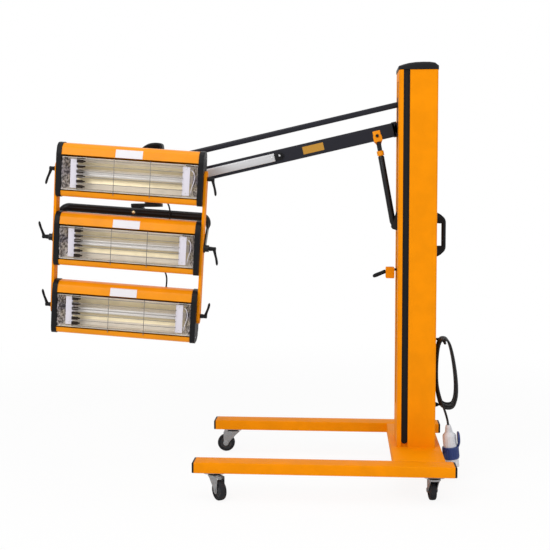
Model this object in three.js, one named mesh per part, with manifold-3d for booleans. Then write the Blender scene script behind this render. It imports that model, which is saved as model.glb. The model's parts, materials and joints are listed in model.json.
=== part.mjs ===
// Mobile infrared paint curing lamp: a wheeled base, a column with a balanced carriage,
// a parallelogram arm with a spring strut, and a head of three tilting lamp cassettes.
// Millimetres, +Z up. The legs reach towards -X and the cassettes face -Y.

import * as THREE from 'three';
import { mergeVertices } from 'three/addons/utils/BufferGeometryUtils.js';
import Module from 'manifold-3d';

// Running and seating gaps
const seatGap = 0.3;
const runningGap = 0.5;
const cutOverrun = 5;
const weldTolerance = 0.001;

// Base
const legLength = 966;
const legRearReach = 126;
const legWidth = 80;
const legHeight = 40;
const legWall = 3;
const legCorner = 4;
const legSpacing = 650;
const platformLength = 195;
const platformWall = 4;
const endCapThickness = 6;
const endCapSpigot = 14;

// Casters
const casterHeight = 103;
const casterInset = 76;
const casterOffset = 32;
const casterPlateLength = 74;
const casterPlateWidth = 56;
const casterPlateThickness = 4;
const racewayDiameter = 46;
const racewayHeight = 7;
const kingBore = 10;
const crownHeight = 7;
const wheelDiameter = 75;
const wheelWidth = 24;
const wheelHubDiameter = 30;
const treadEdge = 4;
const wheelDish = 4;
const axleDiameter = 8;
const axleHeadDiameter = 15;
const axleHeadHeight = 4;
const forkPlate = 3;
const forkSideGap = 2;

// Column
const columnLength = 150;
const columnWidth = 200;
const columnHeight = 1470;
const columnWall = 3;
const columnCorner = 6;
const channelSetback = 17;
const channelWidth = 25;
const channelDepth = 10;
const channelCover = 7;
const stripFoot = 14;
const slotWidth = 68;
const slotFoot = 150;
const slotHead = 36;
const capHeight = 30;
const capOverhang = 2;
const capEdge = 12;
const capSpigot = 12;

// Push handle on the rear face
const handleRise = 830.525;
const handleSpan = 140;
const handleReach = 34;
const handleGrip = 18;
const handleBend = 22;
const handleFoot = 32;
const handleFootThickness = 5;

// Carriage, its balance and its lock
const carriageBelowLock = 52;
const carriageAbovePivot = 151;
const carriagePlate = 6;
const carriageWidth = 160;
const carriageSetback = 20;
const padLength = 60;
const padThickness = 16;
const pivotSetback = 62;
const pivotPin = 12;
const pivotPinHead = 20;
const pivotPinHeadHeight = 5;
const earPlate = 6;
const earNose = 26;
const counterweightLength = 56;
const counterweightWidth = 140;
const counterweightHeight = 400;
const counterweightFoot = 380;
const counterweightCorner = 6;
const pulleyRadius = 30;
const pulleyGroove = 5;
const pulleyWidth = 22;
const pulleyAxle = 12;
const pulleyDrop = 53.3;
const lockBlockLength = 34;
const lockBlockHeight = 44;
const lockBlockWidth = 34;
const lockBlockStandoff = 9;
const lockBlockEdge = 4;
const lockShaft = 10;
const lockBelowStrut = 172;
const lockLeverBar = 6;
const lockLeverReach = 66;
const lockLeverDrop = 23;
const lockGrip = 16;
const lockGripLength = 44;

// Parallelogram arm
const armLength = 930;
const armSlope = 13;
const armPivotDrop = 219.3;
const armHeight = 55;
const armWidth = 34;
const armWall = 3;
const linkSpacing = 95;
const rodHeight = 22;
const rodWidth = 22;
const rodEdge = 6;
const rodBoss = 26;
const coverLength = 252;
const coverStart = 510;
const coverHeight = 32;
const coverDepth = 6;
const coverLip = 5;
const terminalLength = 30;
const terminalDepth = 22;
const glandNutLength = 10;

// Spring strut under the arm
const strutFootReach = 13;
const strutFootBelowArm = 388;
const strutHeadAlong = 98;
const strutHeadDrop = 42;
const strutTube = 24;
const strutBore = 19;
const strutRod = 18;
const strutTubeTop = 283;
const strutTubeFoot = 12;
const strutRodFoot = 130;
const strutEyePin = 10;
const strutEyeWidth = 24;
const strutEarPlate = 4;
const strutEarHeight = 92;
const clevisLength = 36;
const clevisSlot = 26;
const clevisLeg = 4;
const clevisWidth = 18;
const bracketPlate = 3;
const bracketLength = 34;
const bracketTab = 6;
const bracketWrap = 20;
const bracketTabWidth = 20;
const bracketBolt = 8;

// Knuckle at the arm's end and swivel bracket under it
const knuckleReach = 84;
const knuckleDiameter = 70;
const knuckleFootDrop = 89.8;
const knuckleHeight = 205;
const knuckleDome = 38;
const knuckleDomeRadius = 39;
const swivelPost = 26;
const swivelPlate = 13;
const swivelPlateWidth = 78;

// Yoke and head frame
const rollSetback = 63;
const rollDrop = 33;
const rollBushDiameter = 52;
const rollBolt = 14;
const rollBoltHead = 26;
const rollBoltHeadHeight = 9;
const yokeTube = 35;
const yokeForward = 58;
const yokeDrop = 117;
const yokeReach = 82;
const yokeLeg = 6;
const yokeLegWidth = 34;
const yokeBend = 34;
const yokeBossDiameter = 27;
const yokeBossLength = 14;
const headRoll = 4;
const headTilt = 5;
const barThickness = 10;
const barWidth = 50;
const barEnd = 30;
const cassetteSpacing = 270;

// Cassettes
const cassetteLength = 570;
const cassetteHeight = 205;
const cassetteDepth = 90;
const cassetteWall = 2.5;
const endCapLength = 20;
const endCapLip = 2.5;
const endCapRound = 5;
const windowRise = 58;
const windowDrop = 79;
const reflectorSheet = 1.2;
const reflectorLip = 3;
const endMirrorLean = 24;
const endMirrorInset = 24;
const shieldWidth = 28;
const shieldHeight = 112;
const shieldSetback = 53;
const shieldThickness = 2;
const shieldDepth = 13;
const quartzDiameter = 11;
const quartzWeb = 4;
const socketHeight = 26;
const socketLength = 15;
const grilleWire = 2.5;
const grilleWeld = 0.5;
const grilleBars = 6;
const grilleLap = 5;

// Clamp levers on the head
const leverHubDiameter = 17;
const leverHubLength = 28;
const leverReach = 60;
const leverKick = 14;
const leverRoot = 6;
const leverTip = 4.5;
const leverStud = 8;
const leverStudSeat = 10;

// Cord, hank, plug and the hook that they hang on
const cordDiameter = 9;
const glandDiameter = 22;
const glandFlange = 28;
const glandFlangeThickness = 4;
const glandLength = 24;
const glandTip = 13;
const hookHeight = 548;
const hookReach = 39;
const hookPeg = 10;
const hookSpan = 120;
const hookPlate = 4;
const hookPlateHeight = 56;
const hookPlateWidth = 34;
const hookStop = 22;
const hookStopThickness = 4;
const hankTurns = 8;
const hankSpacing = 10.5;
const hankTopRadius = 29;
const hankFootRadius = 44;
const hankDrop = 200;
const hankFootShift = 17;
const hankSway = 5;
const hankSlack = 1;
const hankSwayRate = 2.4;
const hankHandle = 88;
const plugLength = 168;
const plugDiameter = 52;
const plugCollar = 64;
const plugCollarLength = 46;
const plugNeck = 20;
const plugNeckLength = 26;
const plugShroud = 56;
const plugShroudLength = 34;
const plugShroudDepth = 40;
const plugShroudWall = 3;
const plugPins = 5;
const plugPin = 6;
const plugPinCircle = 16;
const plugPinLength = 32;
const plugLean = 6;
const plugStandoff = 55;
const plugHeight = 222;
const plugHandle = 60;
const plugForward = 44;

// Faces round a curve
const roundSides = 16;
const pinSides = 12;
const nutSides = 6;
const wireSides = 5;
const cordSides = 8;
const hankSides = 6;
const hankSteps = 20;

// Places worked out from the sizes above
const legTop = casterHeight + legHeight;
const columnFoot = legTop + seatGap;
const columnTop = columnFoot + columnHeight;
const pulleyHeight = columnTop - pulleyDrop;
const armPivotHeight = columnTop - armPivotDrop;
const strutFootHeight = armPivotHeight - strutFootBelowArm;
const lockHeight = strutFootHeight - lockBelowStrut;
const carriageFoot = lockHeight - carriageBelowLock;
const carriageTop = armPivotHeight + carriageAbovePivot;
const columnFront = -columnLength / 2;
const columnRear = columnLength / 2;
const pivotX = -pivotSetback;
const slope = THREE.MathUtils.degToRad(armSlope);
const knucklePinX = pivotX - armLength * Math.cos(slope);
const knucklePinZ = armPivotHeight - armLength * Math.sin(slope);
const knuckleFoot = knucklePinZ - knuckleFootDrop;
const knuckleHead = knuckleFoot + knuckleHeight;
const rollHeight = knuckleFoot - rollDrop;
const swivelX = knucklePinX - knuckleReach;
const rollX = swivelX - rollSetback;
const capFace = cassetteLength / 2;
const barInner = capFace + runningGap;
const barOuter = barInner + barThickness;
const yokeInner = barOuter + runningGap;
const yokeOuter = yokeInner + yokeLeg;
const bossOuter = yokeOuter + yokeBossLength;
const armBoss = armWidth / 2;
const earInner = armBoss + runningGap;
const earOuter = earInner + earPlate;
const windowTop = windowRise;
const windowFoot = -windowDrop;
const windowCentre = (windowTop + windowFoot) / 2;
const windowHeight = windowTop - windowFoot;

const wasm = await Module();
wasm.setup();

const paint = (color, roughness, metalness = 0) =>
  new THREE.MeshStandardMaterial({ color, roughness, metalness });

const finish = {
  orange: paint(0xf08c10, 0.35),
  black: paint(0x26262a, 0.5),
  armBlack: paint(0x2a2a34, 0.35),
  plastic: paint(0x202024, 0.6),
  rubber: paint(0x303032, 0.85),
  zinc: paint(0xb8bcc0, 0.35, 1),
  steel: paint(0x8c9094, 0.4, 1),
  iron: paint(0x55575a, 0.6, 0.8),
  brass: paint(0xb08a4a, 0.35, 1),
  aluminium: paint(0xc8ccd0, 0.3, 1),
  mirror: paint(0xe8dcc0, 0.15, 1),
  quartz: paint(0xf4f2ea, 0.2),
  cable: paint(0x1c1c1e, 0.6),
  plugBlue: paint(0x1c3c8c, 0.45),
};

// A closed geometry becomes a solid that can be joined and cut
function solidOf(geometry) {
  const bare = geometry.clone();
  bare.deleteAttribute('normal');
  bare.deleteAttribute('uv');
  const merged = mergeVertices(bare, weldTolerance);
  return new wasm.Manifold(new wasm.Mesh({
    numProp: 3,
    vertProperties: Float32Array.from(merged.attributes.position.array),
    triVerts: Uint32Array.from(merged.index.array),
  }));
}

function geometryOf(solid) {
  const mesh = solid.getMesh();
  const geometry = new THREE.BufferGeometry();
  geometry.setAttribute('position', new THREE.BufferAttribute(mesh.vertProperties, 3));
  geometry.setIndex(new THREE.BufferAttribute(mesh.triVerts, 1));
  geometry.computeVertexNormals();
  return geometry;
}

function joined(...geometries) {
  return geometryOf(geometries.map(solidOf).reduce((sum, next) => sum.add(next)));
}

function cutFrom(geometry, ...tools) {
  return geometryOf(tools.map(solidOf).reduce((rest, tool) => rest.subtract(tool), solidOf(geometry)));
}

function common(first, second) {
  return geometryOf(solidOf(first).intersect(solidOf(second)));
}

function moved(geometry, x = 0, y = 0, z = 0) {
  return geometry.clone().translate(x, y, z);
}

function boxBetween([x0, x1], [y0, y1], [z0, z1]) {
  const box = new THREE.BoxGeometry(x1 - x0, y1 - y0, z1 - z0);
  return box.translate((x0 + x1) / 2, (y0 + y1) / 2, (z0 + z1) / 2);
}

// A round bar between two points, with its own radius at each end
function bar(from, to, radius, tipRadius = radius, sides = pinSides) {
  const start = new THREE.Vector3(...from);
  const along = new THREE.Vector3(...to).sub(start);
  const cylinder = new THREE.CylinderGeometry(tipRadius, radius, along.length(), sides);
  cylinder.translate(0, along.length() / 2, 0);
  const up = new THREE.Vector3(0, 1, 0);
  cylinder.applyQuaternion(new THREE.Quaternion().setFromUnitVectors(up, along.normalize()));
  return cylinder.translate(start.x, start.y, start.z);
}

function barX(x0, x1, y, z, radius, sides) {
  return bar([x0, y, z], [x1, y, z], radius, radius, sides);
}

function barY(x, y0, y1, z, radius, sides) {
  return bar([x, y0, z], [x, y1, z], radius, radius, sides);
}

function barZ(x, y, z0, z1, radius, sides) {
  return bar([x, y, z0], [x, y, z1], radius, radius, sides);
}

function roundedRectangle(width, height, radius, Kind = THREE.Shape) {
  const shape = new Kind();
  const x = width / 2;
  const y = height / 2;
  shape.moveTo(radius - x, -y);
  shape.lineTo(x - radius, -y);
  shape.absarc(x - radius, radius - y, radius, -Math.PI / 2, 0);
  shape.lineTo(x, y - radius);
  shape.absarc(x - radius, y - radius, radius, 0, Math.PI / 2);
  shape.lineTo(radius - x, y);
  shape.absarc(radius - x, y - radius, radius, Math.PI / 2, Math.PI);
  shape.lineTo(-x, radius - y);
  shape.absarc(radius - x, radius - y, radius, Math.PI, Math.PI * 1.5);
  return shape;
}

function polygon(points, Kind = THREE.Shape) {
  return new Kind(points.map(([x, y]) => new THREE.Vector2(x, y)));
}

function circleShape(radius, sides) {
  const turn = (2 * Math.PI) / sides;
  const corner = (_, i) => [radius * Math.cos(i * turn), radius * Math.sin(i * turn)];
  return polygon(Array.from({ length: sides }, corner));
}

// A flat shape given thickness along +Z, centred on its plane if asked
function slab(shape, thickness, { centred = false, curveSegments = 5 } = {}) {
  const geometry = new THREE.ExtrudeGeometry(shape, { depth: thickness, bevelEnabled: false, curveSegments });
  return centred ? geometry.translate(0, 0, -thickness / 2) : geometry;
}

// Shapes drawn in X and Z stand along Y, and shapes drawn in Y and Z stand along X
function standAlongY(geometry) {
  return geometry.rotateX(Math.PI / 2);
}

function standAlongX(geometry) {
  return geometry.rotateX(Math.PI / 2).rotateZ(Math.PI / 2);
}

// Moves each side of a convex outline outwards by one distance
function offsetOutline(points, distance) {
  const count = points.length;
  const sideAt = (i) => {
    const [ax, ay] = points[(i + count) % count];
    const [bx, by] = points[(i + 1) % count];
    const length = Math.hypot(bx - ax, by - ay);
    return { ax, ay, dx: (bx - ax) / length, dy: (by - ay) / length };
  };
  return points.map((_, i) => {
    const before = sideAt(i - 1);
    const after = sideAt(i);
    const cross = before.dx * after.dy - before.dy * after.dx;
    const alongShift = distance * (1 - (before.dx * after.dx + before.dy * after.dy)) / cross;
    const x = after.ax + after.dy * distance;
    const y = after.ay - after.dx * distance;
    return [x - after.dx * alongShift, y - after.dy * alongShift];
  });
}

// A bent strip of sheet: an open line of points given thickness on its left side
function sheetOutline(points, thickness) {
  const normalAt = (i) => {
    const [ax, ay] = points[Math.max(i - 1, 0)];
    const [bx, by] = points[Math.min(i + 1, points.length - 1)];
    const length = Math.hypot(bx - ax, by - ay);
    return [-(by - ay) / length, (bx - ax) / length];
  };
  const outer = points.map(([x, y], i) => {
    const [nx, ny] = normalAt(i);
    return [x + nx * thickness, y + ny * thickness];
  });
  return [...points, ...outer.reverse()];
}

function sweep(path, radius, steps, sides) {
  return new THREE.ExtrudeGeometry(circleShape(radius, sides), { steps, extrudePath: path, bevelEnabled: false });
}

const lamp = new THREE.Group();

function addNode(name, geometry, material, parent = lamp) {
  const mesh = new THREE.Mesh(geometry, material);
  mesh.name = name;
  parent.add(mesh);
  return mesh;
}

function addGroup(parent, [x, y, z], turnX = 0, turnY = 0, turnZ = 0) {
  const group = new THREE.Group();
  group.position.set(x, y, z);
  group.rotation.set(...[turnX, turnY, turnZ].map(THREE.MathUtils.degToRad));
  parent.add(group);
  return group;
}

// Base: two tube legs, closed by end caps and carrying caster plates, and the platform between
function legTube() {
  const shape = roundedRectangle(legWidth, legHeight, legCorner);
  const bore = [legWidth - 2 * legWall, legHeight - 2 * legWall];
  shape.holes.push(roundedRectangle(...bore, legCorner / 2, THREE.Path));
  return standAlongX(slab(shape, legLength, { curveSegments: 2 }));
}

function legEndCap() {
  const lip = roundedRectangle(legWidth - 2 * runningGap, legHeight - 2 * runningGap, legCorner);
  const plate = standAlongX(slab(lip, endCapThickness, { curveSegments: 2 }));
  const fit = 2 * legWall - seatGap;
  const spigotShape = roundedRectangle(legWidth - fit, legHeight - fit, legCorner / 2);
  const spigot = standAlongX(slab(spigotShape, endCapSpigot + seatGap, { curveSegments: 2 }));
  return joined(plate, moved(spigot, -endCapSpigot));
}

function leg() {
  const front = legRearReach - legLength;
  const middle = casterHeight + legHeight / 2;
  const rearCap = moved(legEndCap(), legRearReach, 0, middle);
  const frontCap = moved(legEndCap().rotateZ(Math.PI), front, 0, middle);
  const plates = [-1, 1].map((end) => moved(casterPlate(), casterX(end)));
  const kingBores = [-1, 1].map((end) =>
    barZ(casterX(end), 0, 0, casterHeight + 2 * legWall, kingBore / 2));
  return cutFrom(joined(moved(legTube(), front, 0, middle), rearCap, frontCap, ...plates), ...kingBores);
}

function buildBase() {
  for (const [name, side] of [['near_leg', -1], ['far_leg', 1]]) {
    addNode(name, moved(leg(), 0, side * legSpacing / 2), finish.orange);
  }
  const platformWidth = legSpacing - legWidth - 2 * seatGap;
  const section = roundedRectangle(platformLength, legHeight, legCorner);
  const bore = [platformLength - 2 * platformWall, legHeight - 2 * platformWall];
  section.holes.push(roundedRectangle(...bore, legCorner / 2, THREE.Path));
  const platform = standAlongY(slab(section, platformWidth, { centred: true, curveSegments: 2 }));
  addNode('base_platform', moved(platform, 0, 0, casterHeight + legHeight / 2), finish.orange);
}

// Casters: a fixed plate with its raceway, a fork that swivels and a wheel
const casterPlaces = [
  { name: 'near_left', end: -1, side: -1, trail: -52 },
  { name: 'near_right', end: 1, side: -1, trail: 96 },
  { name: 'far_left', end: -1, side: 1, trail: 180 },
  { name: 'far_right', end: 1, side: 1, trail: 128 },
];

function casterX(end) {
  return end > 0 ? legRearReach - casterInset : legRearReach - legLength + casterInset;
}

function casterPlate() {
  const shape = roundedRectangle(casterPlateLength, casterPlateWidth, legCorner);
  const plate = slab(shape, casterPlateThickness + seatGap, { curveSegments: 2 });
  const race = casterHeight - casterPlateThickness - racewayHeight;
  return joined(
    moved(plate, 0, 0, casterHeight - casterPlateThickness),
    barZ(0, 0, race, casterHeight, racewayDiameter / 2, roundSides),
  );
}

function casterFork() {
  const crownTop = casterHeight - casterPlateThickness - racewayHeight - seatGap;
  const crownFoot = crownTop - crownHeight;
  const axleZ = wheelDiameter / 2;
  const inner = wheelWidth / 2 + forkSideGap;
  const crown = barZ(0, 0, crownFoot, crownTop, racewayDiameter / 2 + forkPlate, roundSides);
  const noseRadius = axleHeadDiameter / 2 + forkPlate;
  const crownRadius = racewayDiameter / 2;
  const cheekShape = polygon([
    [-crownRadius, crownFoot + crownHeight / 2],
    [casterOffset - noseRadius, axleZ],
    [casterOffset, axleZ - noseRadius],
    [casterOffset + noseRadius, axleZ],
    [crownRadius, crownFoot + crownHeight / 2],
  ]);
  const cheek = standAlongY(slab(cheekShape, forkPlate));
  const axle = barY(casterOffset, -inner - forkPlate, inner + forkPlate, axleZ, axleDiameter / 2);
  const headInner = inner + forkPlate - seatGap;
  const head = (side) => barY(casterOffset, side * headInner, side * (headInner + axleHeadHeight),
    axleZ, axleHeadDiameter / 2, nutSides);
  const bridge = boxBetween([-crownRadius, crownRadius], [-inner - forkPlate, inner + forkPlate],
    [crownFoot, crownTop]);
  return joined(common(bridge, barZ(0, 0, crownFoot, crownTop, racewayDiameter, roundSides)), crown,
    moved(cheek, 0, -inner), moved(cheek, 0, inner + forkPlate), axle, head(-1), head(1));
}

function casterWheel() {
  const half = wheelWidth / 2;
  const radius = wheelDiameter / 2;
  const hub = wheelHubDiameter / 2;
  const bore = axleDiameter / 2 + seatGap;
  const rim = radius - 2 * treadEdge;
  const profile = [
    [bore, -half], [hub, -half], [hub, wheelDish - half], [rim, wheelDish - half], [rim, -half],
    [radius - treadEdge, -half], [radius, treadEdge - half], [radius, half - treadEdge],
    [radius - treadEdge, half], [rim, half], [rim, half - wheelDish], [hub, half - wheelDish],
    [hub, half], [bore, half], [bore, -half],
  ].map(([r, y]) => new THREE.Vector2(r, y));
  return new THREE.LatheGeometry(profile, roundSides);
}

function buildCasters() {
  for (const { name, end, side, trail } of casterPlaces) {
    const turned = addGroup(lamp, [casterX(end), side * legSpacing / 2, 0], 0, 0, trail);
    addNode(`caster_fork_${name}`, casterFork(), finish.zinc, turned);
    addNode(`caster_wheel_${name}`, moved(casterWheel(), casterOffset, 0, wheelDiameter / 2),
      finish.rubber, turned);
  }
}

// Column: a folded shell with a channel down each side, open at the front for the carriage
function columnOutline(inset) {
  const x = columnLength / 2 - inset;
  const y = columnWidth / 2 - inset;
  const channelFront = channelSetback - columnLength / 2 - inset;
  const channelRear = channelSetback + channelWidth - columnLength / 2 + inset;
  const channelFloor = columnWidth / 2 - channelDepth - inset;
  const corner = Math.max(columnCorner - inset, columnWall / 2);
  const nearSide = [
    [-x, -y + corner], [-x + corner, -y], [channelFront, -y], [channelFront, -channelFloor],
    [channelRear, -channelFloor], [channelRear, -y], [x - corner, -y], [x, -y + corner],
  ];
  const farSide = nearSide.map(([px, py]) => [px, -py]).reverse();
  return [...nearSide, ...farSide];
}

function buildColumn() {
  const section = polygon(columnOutline(0));
  section.holes.push(polygon(columnOutline(columnWall).reverse(), THREE.Path));
  const shell = moved(slab(section, columnHeight), 0, 0, columnFoot);
  const slot = boxBetween(
    [columnFront - cutOverrun, columnFront + columnWall + cutOverrun],
    [-slotWidth / 2, slotWidth / 2],
    [columnFoot + slotFoot, columnTop - slotHead],
  );
  const glandHole = barX(columnRear - columnWall - cutOverrun, columnRear + cutOverrun, glandSide, glandHeight,
    glandDiameter / 2 + runningGap, roundSides);
  addNode('column_shell', cutFrom(shell, slot, glandHole), finish.orange);

  const stripWidth = channelWidth - 2 * seatGap;
  const stripShape = new THREE.Shape();
  const stripTop = columnHeight - seatGap;
  stripShape.moveTo(stripWidth / 2, stripTop);
  stripShape.lineTo(-stripWidth / 2, stripTop);
  stripShape.lineTo(-stripWidth / 2, stripFoot + stripWidth / 2);
  stripShape.absarc(0, stripFoot + stripWidth / 2, stripWidth / 2, Math.PI, 2 * Math.PI);
  const strip = standAlongY(slab(stripShape, channelCover, { curveSegments: 8 }));
  const stripX = channelSetback + channelWidth / 2 - columnLength / 2;
  const floorY = columnWidth / 2 - channelDepth + seatGap;
  addNode('near_channel_strip', moved(strip, stripX, -floorY, columnFoot), finish.plastic);
  addNode('far_channel_strip', moved(strip, stripX, floorY + channelCover, columnFoot), finish.plastic);
  addNode('column_cap', columnCap(), finish.plastic);
}

// The cap rises from the front to a crown over the rear half, with rounded edges
const capCrownShares = [[0, 0.3], [0.08, 0.5], [0.2, 0.72], [0.4, 0.93], [0.62, 1], [0.82, 0.98], [0.94, 0.84], [1, 0.5]];

function columnCap() {
  const length = columnLength + 2 * capOverhang - 2 * capEdge;
  const width = columnWidth + 2 * capOverhang - 2 * capEdge;
  const rise = capHeight - capEdge;
  const crown = capCrownShares.map(([along, up]) => [(along - 1 / 2) * length, rise * up]);
  const side = polygon([[-length / 2, -capEdge], [length / 2, -capEdge], ...crown.reverse()]);
  const body = new THREE.ExtrudeGeometry(side, {
    depth: width, bevelThickness: capEdge, bevelSize: capEdge, bevelSegments: 3,
  });
  standAlongY(body.translate(0, 0, -width / 2));
  const reach = columnLength + columnWidth;
  const keep = boxBetween([-reach, reach], [-reach, reach], [0, 2 * capHeight]);
  const inside = columnLength / 2 - channelSetback - channelWidth;
  const fit = columnCorner;
  const spigot = boxBetween(
    [fit - inside, columnLength / 2 - fit],
    [fit - columnWidth / 2, columnWidth / 2 - fit],
    [-capSpigot, seatGap],
  );
  return moved(joined(common(body, keep), spigot), 0, 0, columnTop + seatGap);
}

function pushHandle() {
  const x0 = columnRear + seatGap + handleFootThickness / 2;
  const x1 = columnRear + handleReach;
  const low = columnFoot + handleRise - handleSpan / 2;
  const high = low + handleSpan;
  const point = (x, z) => new THREE.Vector3(x, 0, z);
  const path = new THREE.CurvePath();
  path.add(new THREE.LineCurve3(point(x0, low), point(x1 - handleBend, low)));
  path.add(new THREE.QuadraticBezierCurve3(point(x1 - handleBend, low), point(x1, low), point(x1, low + handleBend)));
  path.add(new THREE.LineCurve3(point(x1, low + handleBend), point(x1, high - handleBend)));
  path.add(new THREE.QuadraticBezierCurve3(point(x1, high - handleBend), point(x1, high), point(x1 - handleBend, high)));
  path.add(new THREE.LineCurve3(point(x1 - handleBend, high), point(x0, high)));
  const grip = sweep(path, handleGrip / 2, 20, 10);
  const foot = (z) => barX(columnRear + seatGap, columnRear + seatGap + handleFootThickness, 0, z, handleFoot / 2);
  return joined(grip, foot(low), foot(high));
}

// Carriage: a back plate inside the column with glide pads and three pairs of ears
function ear(outline, y) {
  const plate = standAlongY(slab(polygon(outline), earPlate));
  return moved(plate, 0, y);
}

function carriage() {
  const plateFront = -carriageSetback - carriagePlate;
  const plate = boxBetween([plateFront, -carriageSetback], [-carriageWidth / 2, carriageWidth / 2],
    [carriageFoot, carriageTop]);
  const padFace = columnWidth / 2 - columnWall - seatGap;
  const padFront = channelSetback + channelWidth - columnLength / 2 + columnWall + seatGap;
  const pads = [];
  for (const side of [-1, 1]) {
    for (const z of [carriageFoot, carriageTop - padLength]) {
      const edge = carriageWidth / 2 - seatGap;
      const span = side > 0 ? [edge, padFace] : [-padFace, -edge];
      pads.push(boxBetween([padFront, padFront + padThickness], span, [z, z + padLength]));
    }
  }
  const nose = pivotX - earNose;
  const upper = armPivotHeight + linkSpacing;
  const root = plateFront + carriagePlate / 2;
  const armEar = [
    [root, armPivotHeight - armHeight], [nose + earNose / 2, armPivotHeight - earNose],
    [nose, armPivotHeight - earNose / 2], [nose, upper + earNose / 2],
    [nose + earNose / 2, upper + earNose], [root, upper + armHeight / 2],
  ];
  const footX = columnFront - strutFootReach;
  const strutNose = footX - strutEyePin;
  const strutEar = [
    [root, strutFootHeight - strutEarHeight / 3], [strutNose + strutEyePin / 2, strutFootHeight - strutEyePin],
    [strutNose, strutFootHeight], [strutNose + strutEyePin / 2, strutFootHeight + strutEyePin],
    [columnFront - runningGap, strutFootHeight + strutEarHeight * 2 / 3],
    [root, strutFootHeight + strutEarHeight * 2 / 3],
  ];
  const strutInner = strutEyeWidth / 2 + runningGap;
  const strutPlate = standAlongY(slab(polygon(strutEar), strutEarPlate));
  const pin = (z) => barY(pivotX, -earOuter - pivotPinHeadHeight / 2, earOuter + pivotPinHeadHeight / 2, z, pivotPin / 2);
  const head = (side, z) => barY(pivotX, side * (earOuter - runningGap), side * (earOuter + pivotPinHeadHeight),
    z, pivotPinHead / 2, nutSides);
  const strutPin = barY(footX, -strutInner - strutEarPlate, strutInner + strutEarPlate, strutFootHeight, strutEyePin / 2);
  const shaftEnd = columnFront - lockBlockStandoff - lockBlockEdge;
  return joined(
    plate, ...pads,
    ear(armEar, -earInner), ear(armEar, earOuter),
    moved(strutPlate, 0, -strutInner), moved(strutPlate, 0, strutInner + strutEarPlate),
    pin(armPivotHeight), pin(upper), strutPin,
    head(-1, armPivotHeight), head(1, armPivotHeight), head(-1, upper), head(1, upper),
    barX(shaftEnd - seatGap, root, 0, lockHeight, lockShaft / 2),
  );
}

function lockBlock() {
  const shape = roundedRectangle(lockBlockLength, lockBlockHeight, lockBlockEdge);
  const block = standAlongY(slab(shape, lockBlockWidth, { centred: true, curveSegments: 3 }));
  const x = columnFront - lockBlockStandoff - lockBlockLength / 2;
  const z = lockHeight - lockBlockHeight / 2 + lockShaft;
  const leverSlot = boxBetween(
    [x - lockBlockLength, x + lockShaft], [-lockLeverBar / 2 - runningGap, lockLeverBar / 2 + runningGap],
    [lockHeight - lockGrip, lockHeight + lockBlockHeight],
  );
  const socket = barX(x, x + lockBlockLength, 0, lockHeight, lockShaft / 2 + seatGap);
  return cutFrom(moved(block, x, 0, z), leverSlot, socket);
}

function lockLever() {
  const root = lockLeverBar;
  const reach = lockLeverReach;
  const blade = polygon([[root, -root], [root, root], [-reach, root / 2], [-reach, -root / 2]]);
  const plate = moved(standAlongY(slab(blade, lockLeverBar)), 0, lockLeverBar / 2);
  const gripStart = lockLeverReach - lockGripLength;
  const grip = barX(-gripStart - lockGripLength, -gripStart, 0, 0, lockGrip / 2);
  const tip = new THREE.SphereGeometry(lockGrip / 2, pinSides, wireSides);
  return joined(plate, grip, moved(tip, -reach));
}

function counterweight() {
  const shape = roundedRectangle(counterweightLength, counterweightWidth, counterweightCorner);
  return slab(shape, counterweightHeight, { curveSegments: 2 });
}

function ropePulley() {
  const half = pulleyWidth / 2;
  const outer = pulleyRadius + pulleyGroove;
  const axle = pulleyAxle / 2;
  const axleEnd = columnWidth / 2 - columnWall - seatGap;
  const profile = [
    [0, -axleEnd], [axle, -axleEnd], [axle, -half], [outer, -half], [pulleyRadius, -pulleyGroove / 2],
    [pulleyRadius, pulleyGroove / 2], [outer, half], [axle, half], [axle, axleEnd], [0, axleEnd],
  ].map(([r, y]) => new THREE.Vector2(r, y));
  return new THREE.LatheGeometry(profile, roundSides);
}

function buildCarriage() {
  addNode('carriage', carriage(), finish.black);
  const ropeShift = pulleyRadius - carriageSetback + carriagePlate;
  const weightX = columnRear - columnWall - runningGap - counterweightLength / 2;
  addNode('counterweight', moved(counterweight(), weightX, 0, counterweightFoot), finish.iron);
  addNode('rope_pulley', moved(ropePulley(), ropeShift, 0, pulleyHeight), finish.steel);
  addNode('lock_block', lockBlock(), finish.orange);
  const leverX = columnFront - lockBlockStandoff - lockBlockLength / 2;
  const lever = addGroup(lamp, [leverX, 0, lockHeight + seatGap], 0, -lockLeverDrop, 0);
  addNode('lock_lever', lockLever(), finish.plastic, lever);
}

// Parallelogram arm: both links hang on the carriage and reach towards -X
function link(section, boss) {
  const inner = boss / 2 - armWall;
  const beam = standAlongX(slab(section, armLength - 2 * inner, { curveSegments: 3 }));
  const eye = (x) => barY(x, -armBoss, armBoss, 0, boss / 2, roundSides);
  const bore = (x) => barY(x, -armWidth, armWidth, 0, pivotPin / 2 + seatGap);
  const body = joined(moved(beam, inner - armLength), eye(0), eye(-armLength));
  return cutFrom(body, bore(0), bore(-armLength));
}

function lowerArm() {
  const section = roundedRectangle(armWidth, armHeight, armWall);
  const bore = [armWidth - 2 * armWall, armHeight - 2 * armWall];
  section.holes.push(roundedRectangle(...bore, armWall / 2, THREE.Path));
  const boltHoles = [-1, 1].map((end) => barZ(-strutHeadAlong + end * bracketLength / 4, 0,
    -armHeight, -armHeight / 4, bracketBolt / 2));
  return cutFrom(link(section, armHeight), ...boltHoles);
}

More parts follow.
